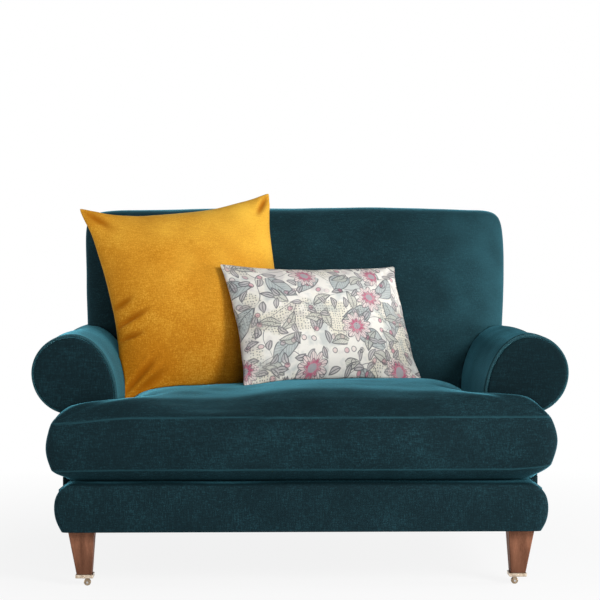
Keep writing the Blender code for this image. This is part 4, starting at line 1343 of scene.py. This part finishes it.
@dataclass
class Back(Upholstery):
    """The fixed back: its padded inside and top, and the flat panel behind."""

    corner: float = 0.100
    front_roll: float = 0.095
    crown: float = 0.030
    side_round: float = 0.055
    narrowing: float = 0.994
    waist: float = 0.006
    panel_corner: float = 0.053
    panel_inset: float = 0.003
    panel_crown: float = 0.003
    arm_gap: float = 0.0005

    def _arm_room(self, side: int) -> bpy.types.Object:
        """Make the space that an arm takes out of the back."""
        inset, foot, past_x = -self.arm_gap, PLAN.floor_clearance, 0.75
        line = PLAN.roll(inset, PLAN.arm_out_x, 22)
        upto = next(index for index, point in enumerate(line) if point[0] >= PLAN.roll_x - 1e-6)
        outline = [(PLAN.arm_in_x + inset, foot), *line[:upto + 1],
                   (past_x, line[upto][1]), (past_x, foot)]
        rings = [[(x, y, z) for x, z in outline] for y in (0.0, 0.62)]
        return mesh_object("arm_room", mirrored(loft(rings), side))

    def _pad(self) -> bpy.types.Object:
        """Make the padded back."""
        half, rear, top = PLAN.back_half, PLAN.frame_rear_y, PLAN.back_height
        front, foot, bend = PLAN.inside_back_y, PLAN.seat_foot, PLAN.inside_back_bend_z
        body = top - self.corner - bend
        lines_x = [side * (half - reach * self.corner) for side in (-1, 1) for reach in (1, 3, 6)]
        lines_z = [bend, bend + body / 3, bend + 2 * body / 3, top - self.corner]
        shape = sliced_block((-half, front, foot), (half, rear, top),
                             (lines_x, [front + self.front_roll], lines_z))
        for point in shape.verts:
            x, y, z = point.co
            across = x / half
            height = z if z < top - HAIR else PLAN.back_top(x)
            share = min(1.0, max(0.0, (z - bend) / (top - bend)))
            crown = self.crown * (1 - across ** 2) * math.sin(math.pi * share)
            if y < rear - HAIR:
                slope = max(0.0, z - bend) * PLAN.inside_back_slope
                rounding = self.side_round * abs(across) ** 14 * share
                point.co.y = y + slope - (crown - rounding) * (y < front + HAIR)
            else:
                point.co.y = rear + PLAN.lean(height)
            waist = 1.0 - self.waist * min(1.0, max(0.0, (PLAN.back_widest_z - z) / 0.22))
            point.co.x = across * PLAN.back_half_width(z) * self.narrowing * waist
            point.co.z = height
        crease_edges(shape, lambda point: point.y > rear + PLAN.lean(point.z) - HAIR, 1.0)
        crease_edges(shape, lambda point: point.z < foot + HAIR, 1.0)
        pad = mesh_object("back_cover", shape)
        soften(pad, 4)
        rumple(pad, 0.0045, (4.2, 4.2, 4.2), 2.7)
        rumple(pad, 0.0012, (13.0, 13.0, 13.0), 9.1)
        # Creases, each with painted shade along it.
        crease_cover(pad, [Fold((side * 0.588, 0.262, 0.925), (side * 0.560, 0.258, 0.900),
                                0.004, 0.005) for side in (1, -1)])
        # Painted highlight, partly real brushing of the pile: soft patches all over, much paler
        # towards the back's right edge.
        paint_nap_highlight(pad, lambda points: 0.11 + 0.69 * fade(points[:, 0], 0.25, 0.33) ** 1.8
              * np.clip((0.40 - points[:, 1]) / 0.12, 0.2, 1.0), 16.0, 5.5)
        carve(pad, mesh_object("frame_room", leaning_block(
            (-PLAN.post_out_x, PLAN.frame_front_y - HAIR, PLAN.lean_from_z),
            (PLAN.post_out_x, rear + 0.08, PLAN.frame_top))))
        for side, _ in SIDES:
            carve(pad, self._arm_room(side))
        return self.cover(pad, "back_pad", 0.85)

    def _half_width(self, z: float) -> float:
        """Return half the rear panel's width at a height, over the rolls' ends and the corners."""
        neck = PLAN.neck_z()
        inset = self.panel_inset
        if z <= neck:
            return PLAN.arm_out_x
        if z < PLAN.roll_z:
            share = (PLAN.roll_z - z) / PLAN.roll_drop
            return PLAN.roll_x + PLAN.roll_reach * math.sqrt(max(0.0, 1 - share ** 2))
        crest = 0.0
        if z < PLAN.arm_top:
            share = (z - PLAN.roll_z) / (PLAN.arm_top - PLAN.roll_z)
            crest = PLAN.roll_x + PLAN.roll_reach * math.sqrt(max(0.0, 1 - share ** 2))
        width = PLAN.back_half_width(z) - inset
        start = PLAN.back_top(PLAN.back_half) - inset - self.panel_corner
        if z > start:
            share = min(1.0, (z - start) / self.panel_corner)
            width -= self.panel_corner * (1 - math.sqrt(max(0.0, 1 - share ** 2)))
        return max(crest, width)

    def _rear_panel(self) -> bpy.types.Object:
        """Make the flat panel behind the back."""
        side_top = PLAN.back_top(PLAN.back_half)
        start = side_top - self.panel_inset - self.panel_corner
        heights = [*np.linspace(PLAN.floor_clearance, PLAN.neck_z(), 22),
                   *np.linspace(PLAN.neck_z(), PLAN.arm_top, 26)[1:],
                   *np.linspace(PLAN.arm_top, start, 20)[1:],
                   *(start + self.panel_corner * math.sin(math.radians(turn))
                     for turn in range(6, 91, 6))]
        rows, columns = len(heights) - 1, 80
        front = PLAN.frame_rear_y + HAIR

        def place(u: float, v: float, skin: int) -> Point:
            base = heights[round(v * rows)]
            across = 2 * u - 1
            x = across * self._half_width(base)
            z = base + (PLAN.back_top(x) - side_top) * max(0.0, (base - 0.6) / 0.336)
            depth = min(1.0, min(1 - abs(across), 1.4 * min(v, 1 - v)) / 0.02)
            crown = self.panel_crown * (1 - across ** 2) * math.sin(math.pi * v)
            rear = PLAN.rear_y - 0.004 * (1 - depth) ** 2 + crown
            return x, (rear if skin else front) + PLAN.lean(z), z

        panel = mesh_object("outside_back_cover", closed_slab(rows, columns, place))
        rumple(panel, 0.0008, (5.0, 5.0, 5.0), 6.6)
        return self.cover(panel, "outside_back", 0.9)

    def build(self) -> list[bpy.types.Object]:
        """Build and dress the back."""
        return [self._pad(), self._rear_panel()]


@dataclass
class Border(Upholstery):
    """The padded border along the front of the base."""

    half: float = 0.595
    foot_half: float = 0.5772
    top_half: float = 0.559
    room_half: float = 0.5750
    wall: float = 0.016
    roll: float = 0.030
    rear_y: float = -0.3545
    rail_top: float = 0.238
    shaded: float = 0.010

    def build(self) -> list[bpy.types.Object]:
        """Build and dress the border."""
        front = PLAN.base_front_y - self.wall
        foot, top = PLAN.floor_clearance, PLAN.border_top
        lines_x = [side * (self.half - reach * self.roll) for side in (-1, 1) for reach in (1, 4)]
        shape = sliced_block((-self.half, front, foot), (self.half, self.rear_y, top),
                             (lines_x, [front + self.roll], [foot + self.roll, top - self.roll]))
        for point in shape.verts:
            if point.co.z < foot + HAIR:
                point.co.x *= self.foot_half / self.half
            if point.co.z > top - HAIR:
                point.co.x *= self.top_half / self.half
        crease_edges(shape, lambda point: point.y > self.rear_y - HAIR, 1.0)
        crease_edges(shape, lambda point: point.z < foot + HAIR, 1.0)
        border = mesh_object("front_border_cover", shape)
        soften(border, 4)
        rumple(border, 0.0030, (5.0, 5.0, 7.0), 4.4, lambda points: fade(points[:, 2], foot, 0.02))
        carve(border, mesh_object("border_room", sliced_block(
            (-self.room_half, PLAN.base_front_y - HAIR, foot - 0.03),
            (self.room_half, self.rear_y + 0.03, self.rail_top))))
        # Painted shade along the border's top, in the gap under the seat cushion.
        rise = (read_points(border.data)[:, 2] - top) / self.shaded + 1.0
        paint(border.data, "fold_and_painted_shade", np.clip(rise, 0.0, 1.0) ** 1.5)
        return [self.cover(border, "front_border", 0.85)]


@dataclass
class Platform(Upholstery):
    """What lies under the seat cushion: the sprung deck, and the dust cover below the base."""

    deck_edge: tuple[float, float] = (0.004, 0.006)
    quilt_depth: float = 0.0016
    quilting: float = 26.0
    cover_thickness: float = 0.0012
    cover_sag: float = 0.004
    leg_hole: float = 0.065
    leg_x: tuple[float, float] = (0.4990, 0.5640)
    legs_y: tuple[tuple[float, float], ...] = ((-0.4525, -0.3875), (0.3775, 0.4325))
    legs_z: tuple[float, float] = (0.10, 0.16)

    def _deck(self) -> bpy.types.Object:
        """Make the deck that the seat cushion lies on."""
        low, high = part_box("seat_deck")
        size = (high.x - low.x, high.y - low.y)

        def place(u: float, v: float, skin: int) -> Point:
            x, y = low.x + size[0] * u, low.y + size[1] * v
            waves = math.sin(x * self.quilting) * math.sin(y * self.quilting)
            quilt = self.quilt_depth * waves ** 2
            drop = rim_drop(u, v, size, *self.deck_edge)
            return x, y, (high.z - drop - quilt) if skin else low.z

        deck = mesh_object("sprung_deck", closed_slab(70, 96, place))
        return self.wardrobe.hang(deck, Slot.DECK, Body.CHAIR, "seat_deck", 0.7)

    def _dust_cover(self) -> bpy.types.Object:
        """Make the thin cloth that closes the base from below."""
        low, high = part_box("dust_cover")
        width, length = high.x - low.x, high.y - low.y

        def place(u: float, v: float, skin: int) -> Point:
            x, y = low.x + width * u, low.y + length * v
            slack = math.sin(math.pi * u) * math.sin(math.pi * v)
            waves = 0.0010 * math.sin(x * 41.0 + 3.0 * math.sin(y * 9.0)) * slack
            z = high.z - self.cover_sag * slack + waves
            return x, y, z if skin else z - self.cover_thickness

        cover = mesh_object("dust_cloth_cover", closed_slab(48, 60, place))
        for side, _ in SIDES:
            for leg_y in self.legs_y:
                hole = sliced_block(*zip(self.leg_x, leg_y, self.legs_z))
                carve(cover, mesh_object("leg_hole", mirrored(hole, side)))
        self.wardrobe.hang(cover, Slot.DUST, Body.CHAIR, "dust_cover")
        return cover

    def build(self) -> list[bpy.types.Object]:
        """Build and dress the deck and the dust cover."""
        return [self._deck(), self._dust_cover()]


@dataclass
class SeatCushion(Upholstery):
    """The loose T-shaped seat cushion, boxed all round and crowned on top."""

    half_wing: float = 0.603
    half_stem: float = 0.4505
    front_y: float = -0.478
    wing_rear_y: float = -0.3635
    rear_y: float = 0.1290
    bulge: float = 0.020
    foot_height: float = 0.030
    boxing: float = 0.126
    roll: float = 0.036
    rim_rise: float = 0.033
    crown: float = 0.035
    slump: float = 0.014
    slump_reach: tuple[float, float] = (0.40, 0.20)
    perk: float = 0.009
    perk_reach: tuple[float, float] = (0.47, 0.13)
    # How much painted shade dulls the cushion's top behind its front edge.
    painted_shade: float = 0.05
    # The width of the painted highlight along the seams.
    seam_highlight_width: float = 0.0016
    top_shape: tuple[tuple[float, float], ...] = (
        (-0.63, 0.022), (-0.56, 0.012), (-0.50, 0.006), (-0.42, 0.002), (-0.33, -0.010),
        (-0.235, -0.019), (-0.145, -0.016), (-0.03, -0.003), (0.145, 0.001), (0.28, 0.003),
        (0.40, 0.014), (0.52, 0.030), (0.63, 0.044))
    swelling: Swelling = Swelling(pressure=1.5, cap=0.006)

    def _seam_heights(self) -> tuple[float, float]:
        """Return the heights of the lower and upper seams."""
        lower = PLAN.seat_foot + self.foot_height
        return lower, lower + self.boxing

    def _sewn(self, points: np.ndarray, width: float) -> np.ndarray:
        """Return how near each point is to one of the seams, from 0 to 1 over a width."""
        lower, upper = self._seam_heights()
        away = np.minimum(np.abs(points[:, 2] - lower), np.abs(points[:, 2] - upper))
        return hump(away, width)

    def _cage(self) -> bmesh.types.BMesh:
        """Return the coarse cage of the cushion."""
        lower, upper = self._seam_heights()
        rim = upper + self.rim_rise
        rings = ((PLAN.seat_foot, -self.roll, -self.roll), (lower, 0.0, 0.0),
                 ((lower + upper) / 2, self.bulge, 0.0), (upper, 0.0, 0.0),
                 (rim, -self.roll, -self.roll))
        outlines = []
        for height, out, held in rings:
            wing_x, stem_x = self.half_wing + out, self.half_stem + held
            wing_y = self.wing_rear_y + held
            right = [(wing_x, self.front_y - out), (wing_x, wing_y), (stem_x, wing_y),
                     (stem_x, self.rear_y + held)]
            outline = right + [(-x, y) for x, y in reversed(right)]
            outlines.append([(x, y, height) for x, y in outline])
        corners = [Vector(outline[index]) for outline in outlines for index in (2, 5)]
        shape = loft(outlines)
        places = (self.half_wing - self.roll, self.half_stem - self.roll, self.half_stem / 2)
        stem = self.rear_y - self.wing_rear_y
        slice_at(shape, (
            [side * place for side in (-1, 1) for place in places] + [0.0],
            [self.front_y + self.roll, self.wing_rear_y - self.roll, self.wing_rear_y + stem / 3,
             self.wing_rear_y + 2 * stem / 3, self.rear_y - self.roll]))
        middle_y = (self.front_y + self.rear_y) / 2
        for point in shape.verts:
            if point.co.z > rim - HAIR:
                across = point.co.x / self.half_wing
                along = (point.co.y - middle_y) / (self.rear_y - middle_y)
                point.co.z += self.crown * max(0.0, 1 - across ** 2) * max(0.0, 1 - along ** 4)
        crease_edges(shape, lambda point: abs(point.z - upper) < HAIR, 0.40)
        crease_edges(shape, lambda point: abs(point.z - lower) < HAIR, 0.55)
        crease_edges(shape, lambda point: point.z < PLAN.seat_foot + HAIR, 1.0)
        crease_edges(shape, lambda point: any(
            (point.xy - corner.xy).length < HAIR and point.z >= corner.z - HAIR
            for corner in corners), 1.0)
        return shape

    def _sit_in(self, points: np.ndarray) -> None:
        """Shape the top as it was sat in, and lift the right wing's foot off the border.

        Args:
            points: The cushion's points, which are moved.
        """
        lower, upper = self._seam_heights()
        places, rises = zip(*self.top_shape)
        near = points[:, :1] + np.linspace(-0.045, 0.045, 9)
        rise = np.interp(near, places, rises).mean(axis=1)
        share = fade(points[:, 2], upper, 1.3 * self.rim_rise)
        points[:, 2] += rise * share ** 2 * (3 - 2 * share)
        right = fade(points[:, 0], *self.perk_reach)
        points[:, 2] += self.perk * right ** 2 * fade(upper - points[:, 2], 0.0, upper - lower)

    def _keep_clear(self, points: np.ndarray) -> np.ndarray:
        """Return the points moved out of the arms, the facings, the back and the deck."""
        points = points.copy()
        in_stem = points[:, 1] > self.wing_rear_y + 0.0005
        points[in_stem, 0] = np.clip(points[in_stem, 0], -self.half_stem, self.half_stem)
        in_wing = np.abs(points[:, 0]) > self.half_stem + HAIR
        points[in_wing, 1] = np.minimum(points[in_wing, 1], self.wing_rear_y)
        points[:, 1] = np.minimum(points[:, 1], self.rear_y)
        points[:, 2] = np.maximum(points[:, 2], PLAN.seat_foot)
        return points

    def build(self) -> list[bpy.types.Object]:
        """Build and dress the seat cushion."""
        cushion = mesh_object("seat_cushion_cover", self._cage())
        soften(cushion, 3)
        self.swelling.fill(cushion, lambda points: np.maximum(
            self._sewn(points, 0.006), points[:, 2] < PLAN.seat_foot + 0.004))
        soften(cushion, 1)
        for height, scale, seed in ((0.0060, (4.3, 4.3, 6.0), 1.3),
                                    (0.0016, (15.0, 15.0, 15.0), 7.7)):
            rumple(cushion, height, scale, seed,
                   lambda points: fade(points[:, 2] - PLAN.seat_foot, 0.002, 0.03))
        points = read_points(cushion.data)
        left = fade(-points[:, 0], *self.slump_reach)
        lift = fade(points[:, 2] - PLAN.seat_foot, 0.01, 0.12)
        seam_highlight = self._sewn(points, self.seam_highlight_width)
        self._sit_in(points)
        points[:, 2] -= self.slump * left ** 2 * (3 - 2 * left) * lift
        write_points(cushion.data, self._keep_clear(points))
        facing_up = read_normals(cushion.data)[:, 2]
        # Painted highlight along the boxing's two seams, on the faces that are not flat.
        paint(cushion.data, "seam_painted_highlight", seam_highlight * (np.abs(facing_up) < 0.9) * 0.75)
        # Painted shade on the top behind the front edge, which takes the sheen off there.
        inward = fade(points[:, 1] - self.front_y, 0.03, 0.12)
        paint(cushion.data, "fold_and_painted_shade", self.painted_shade * inward * np.clip(facing_up * 1.6, 0.0, 1.0))
        # Painted shade round the cushion's foot, where it sits on the deck.
        paint(cushion.data, "fold_and_painted_shade", 1.0 - fade(points[:, 2], PLAN.seat_foot, 0.008))
        return [self.wardrobe.hang(cushion, Slot.TEAL, Body.SEAT, "seat_cushion", 0.8)]


@dataclass
class ScatterCushion(Upholstery):
    """A knife-edge cushion of two panels, full in the middle, with dog-eared corners.

    Its neighbours are what it leans on, each with the direction in which it gives way.
    """

    name: str
    body: Body
    slot: Slot
    width: float
    height: float
    thickness: float
    drawn_in: tuple[float, float]
    middle: Point
    turn: float
    lean: float
    roll: float
    neighbours: Sequence[tuple[BVHTree, Vector]]
    foot_in: float = 0.07
    ear: float = 0.06
    blunt: float = 0.035
    steps: int = 56
    fullness: float = 0.66
    lip: float = 0.0016
    seed: float = 0.0
    wrinkle: float = 0.0025
    # How strong the painted highlight on the face's upper right is.
    painted_top_highlight: float = 0.0
    swelling: Swelling = Swelling(pressure=1.2, cap=0.008)
    folds: tuple[Fold, ...] = ()

    def matrix(self) -> Matrix:
        """Return the cushion's own frame: x across, y up its face and z out of its face."""
        turned = (Matrix.Rotation(math.radians(self.turn), 4, "Z")
                  @ Matrix.Rotation(-math.radians(self.lean), 4, "X")
                  @ Matrix.Rotation(-math.radians(self.roll), 4, "Y")
                  @ Matrix.Rotation(math.radians(90.0), 4, "X"))
        return Matrix.Translation(self.middle) @ turned

    def _place(self, u: float, v: float, skin: int) -> Point:
        """Return a point of one panel in the cushion's own frame."""
        across, up = 2 * u - 1, 2 * v - 1
        full = (max(0.0, 1 - across * across) * max(0.0, 1 - up * up)) ** self.fullness
        corner = 1 + self.ear * (across * up) ** 6 - self.blunt * (across * up) ** 26
        sides, ends = self.drawn_in
        end = ends if up > 0 else self.foot_in
        x = self.width / 2 * across * corner * (1 - sides * (1 - up * up))
        y = self.height / 2 * up * corner * (1 - end * (1 - across * across))
        lip = self.lip * min(1.0, min(1 - abs(across), 1 - abs(up)) / 0.02)
        z = (self.thickness / 2 * full + lip) * (1 if skin else -1)
        return x, y, z

    def build(self) -> list[bpy.types.Object]:
        """Build and dress the cushion, pushed flat against what it leans on."""
        cushion = mesh_object(self.name, closed_slab(self.steps, self.steps, self._place, True))
        for loop in cushion.data.uv_layers["panel"].data:
            loop.uv = (loop.uv.x * self.width, loop.uv.y * self.height)
        self.swelling.fill(cushion, lambda points: 0.6 * hump(points[:, 2], 0.004))
        soften(cushion, 1)
        # Painted highlight along the knife edge.
        paint(cushion.data, "seam_painted_highlight", hump(read_points(cushion.data)[:, 2], 0.0022) * 0.35)
        rumple(cushion, self.wrinkle * 2, (6.0, 6.0, 6.0), self.seed)
        rumple(cushion, self.wrinkle, (15.0, 15.0, 15.0), self.seed + 3.0)
        # Creases, each with painted shade along it.
        crease_cover(cushion, self.folds, flat=True)
        # Painted highlight: the face paler towards its upper right, where the key light falls.
        if self.painted_top_highlight:
            paint_nap_highlight(cushion, lambda points: self.painted_top_highlight * np.clip(
                0.5 + (points[:, 0] + 1.3 * points[:, 1]) / (self.width + self.height),
                0.0, 1.0) ** 1.4, 14.0, self.seed)
        cushion.data.transform(self.matrix())
        for tree, away in self.neighbours:
            lie_against(cushion, tree, away)
        return [self.wardrobe.hang(cushion, self.slot, self.body, self.body.value, 0.75)]


@dataclass
class CastorTrim(Upholstery):
    """The small screws that hold a castor's square cup to its leg."""

    hand: str
    height: float = 0.0248
    radius: float = 0.0017

    def build(self) -> list[bpy.types.Object]:
        """Build and dress the screws of one cup, as one piece."""
        low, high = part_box(f"castor_cup_{self.hand}")
        centre = Matrix.Translation(((low.x + high.x) / 2, (low.y + high.y) / 2, self.height))
        place = (Matrix.Translation(((high.x - low.x) / 2, 0.0, 0.0))
                 @ Matrix.Diagonal((0.45, 1.0, 1.0, 1.0)))
        shape = bmesh.new()
        for turn in range(4):
            spin = Matrix.Rotation(turn * math.pi / 2, 4, "Z")
            head = bmesh.ops.create_uvsphere(
                shape, u_segments=16, v_segments=10, radius=self.radius)["verts"]
            bmesh.ops.transform(shape, matrix=centre @ spin @ place, verts=head)
        screws = mesh_object(f"cup_screws_{self.hand}", shape)
        return [self.wardrobe.hang(screws, Slot.BRASS, Body.CHAIR)]


@dataclass
class Studio:
    """A plain pale floor, soft lamps and the camera."""

    camera_place: Point = (-0.107, -4.86, 0.795)
    camera_aim: Point = (-0.0025, -0.36, 0.691)
    lens: float = 110.1
    sensor: float = 36.0
    sky: Colour = (0.93, 0.96, 1.0)
    floor_tone: Colour = (0.88, 0.88, 0.88)
    floor_size: float = 40.0
    glow_share: float = 0.87
    fade_from: float = 1.5
    fade_over: float = 1.4
    ambient: float = 0.26
    lamps: tuple[tuple[str, Point, Point, float, float], ...] = (
        ("key", (2.5, -3.6, 2.2), (0.0, 0.0, 0.5), 1.6, 136.0),
        ("fill", (0.7, -4.6, 1.3), (0.0, 0.0, 0.4), 1.8, 34.0),
        ("side_right", (3.5, -0.6, 0.7), (0.3, 0.3, 0.6), 1.3, 60.0),
        ("side_left", (-3.5, -0.6, 0.5), (-0.3, 0.1, 0.5), 1.3, 20.0),
    )

    def _aim(self, name: str, data: bpy.types.ID, place: Point, target: Point) -> bpy.types.Object:
        """Return a lamp or camera of a name, in its place and looking at a target."""
        thing = bpy.data.objects.new(name, data)
        bpy.context.scene.collection.objects.link(thing)
        thing.location = place
        thing.rotation_euler = (Vector(target) - Vector(place)).to_track_quat("-Z", "Y").to_euler()
        return thing

    def _floor(self) -> None:
        """Make the floor, white to the camera but for the chair's shadow."""
        shape = bmesh.new()
        bmesh.ops.create_grid(shape, x_segments=1, y_segments=1, size=self.floor_size / 2)
        floor = mesh_object("floor", shape)
        graph = Graph("floor_paint")
        glow = graph.node("ShaderNodeEmission", None, {"Color": WHITE, "Strength": 1.0})
        x, y, _ = graph.axes(graph.place())
        far = (x * x + y * y).root().above(self.fade_from, self.fade_over)
        seen = graph.node("ShaderNodeLightPath", output="Is Camera Ray")
        reflected = graph.node("ShaderNodeLightPath", output="Is Glossy Ray")
        share = (seen + reflected).least(1.0) * (far * (1.0 - self.glow_share) + self.glow_share)
        graph.give_way(share, glow)
        floor.data.materials.append(graph.finish(
            base_color=self.floor_tone, roughness=0.9, specular_ior_level=0.0))

    def _world(self) -> None:
        """Make the even light from all round, and the white seen behind the chair."""
        world = bpy.data.worlds.new("studio_world")
        bpy.context.scene.world = world
        world.use_nodes = True
        tree = Tree(world.node_tree)
        soft = world.node_tree.nodes["Background"]
        tree.feed(soft.inputs["Color"], self.sky)
        tree.feed(soft.inputs["Strength"], self.ambient)
        white = tree.node("ShaderNodeBackground", None, {"Color": WHITE, "Strength": 1.0})
        seen = tree.node("ShaderNodeLightPath", output="Is Camera Ray")
        reflected = tree.node("ShaderNodeLightPath", output="Is Glossy Ray")
        tree.show("World Output", Socket(tree, soft.outputs[0]), white, seen.most(reflected))

    def build(self) -> None:
        """Set the whole studio up."""
        self._floor()
        self._world()
        for name, place, target, size, power in self.lamps:
            lamp = bpy.data.lights.new(name, "AREA")
            lamp.shape, lamp.size, lamp.energy = "DISK", size, power
            self._aim(name, lamp, place, target)
        lens = bpy.data.cameras.new("camera")
        lens.lens, lens.sensor_width = self.lens, self.sensor
        scene = bpy.context.scene
        scene.camera = self._aim("camera", lens, self.camera_place, self.camera_aim)
        scene.view_settings.view_transform = "Standard"


def main() -> None:
    """Build the chair in order."""
    logging.basicConfig(level=logging.INFO, format="%(name)s: %(message)s")
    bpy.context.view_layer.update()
    wardrobe = Wardrobe()
    wardrobe.dress_bare_nodes()
    left_arm, _ = [Arm(wardrobe, side, hand).build() for side, hand in SIDES]
    back = Back(wardrobe).build()
    Border(wardrobe).build()
    Platform(wardrobe).build()
    seat = SeatCushion(wardrobe).build()
    under = (solid_tree(seat[0]), Vector((0, 0, 1)))
    behind = (solid_tree(back[0]), Vector((0, -1, 0)))
    beside = (solid_tree(left_arm[0]), Vector((1, 0, 0)))
    mustard = ScatterCushion(
        wardrobe, "mustard_scatter", Body.MUSTARD, Slot.MUSTARD,
        width=0.552, height=0.552, thickness=0.184, drawn_in=(0.13, 0.145),
        middle=(-0.272, 0.066, 0.694), turn=20.0, lean=20.0, roll=5.4,
        neighbours=(under, beside, behind), ear=0.03, seed=2.0, painted_top_highlight=0.72,
        folds=(
            Fold((-0.244, -0.070), (-0.165, -0.043), 0.010, 0.0065),
            Fold((-0.240, -0.105), (-0.185, -0.100), 0.008, 0.006),
            Fold((-0.238, -0.020), (-0.195, -0.002), 0.004, 0.008),
            Fold((-0.262, -0.255), (-0.160, -0.170), 0.008, 0.008),
            Fold((-0.225, -0.255), (-0.140, -0.205), 0.005, 0.010),
            Fold((0.268, 0.266), (0.215, 0.205), 0.007, 0.008),
            Fold((-0.266, 0.266), (-0.205, 0.205), 0.005, 0.010),
            Fold((0.240, -0.020), (0.190, -0.035), 0.004, 0.009),
        ),
    ).build()
    in_front = (solid_tree(mustard[0]), behind[1])
    ScatterCushion(
        wardrobe, "printed_scatter", Body.PRINTED, Slot.PRINTED,
        width=0.524, height=0.358, thickness=0.162, drawn_in=(0.035, 0.085),
        middle=(0.066, 0.022, 0.6165), turn=25.0, lean=28.0, roll=-0.8,
        neighbours=(under, behind, in_front), ear=0.04, seed=11.0, wrinkle=0.0022,
        folds=(
            Fold((-0.255, -0.168), (-0.175, -0.105), 0.006, 0.009),
            Fold((0.255, -0.168), (0.175, -0.105), 0.006, 0.009),
            Fold((-0.255, 0.168), (-0.185, 0.115), 0.005, 0.008),
            Fold((0.255, 0.168), (0.185, 0.115), 0.005, 0.008),
            Fold((-0.245, -0.030), (-0.190, -0.022), 0.004, 0.008),
            Fold((-0.243, 0.045), (-0.200, 0.040), 0.003, 0.007),
            Fold((0.245, 0.020), (0.190, 0.012), 0.004, 0.008),
        ),
    ).build()
    for _, hand in SIDES:
        CastorTrim(wardrobe, hand).build()
    Studio().build()


if __name__ == "__main__":
    main()
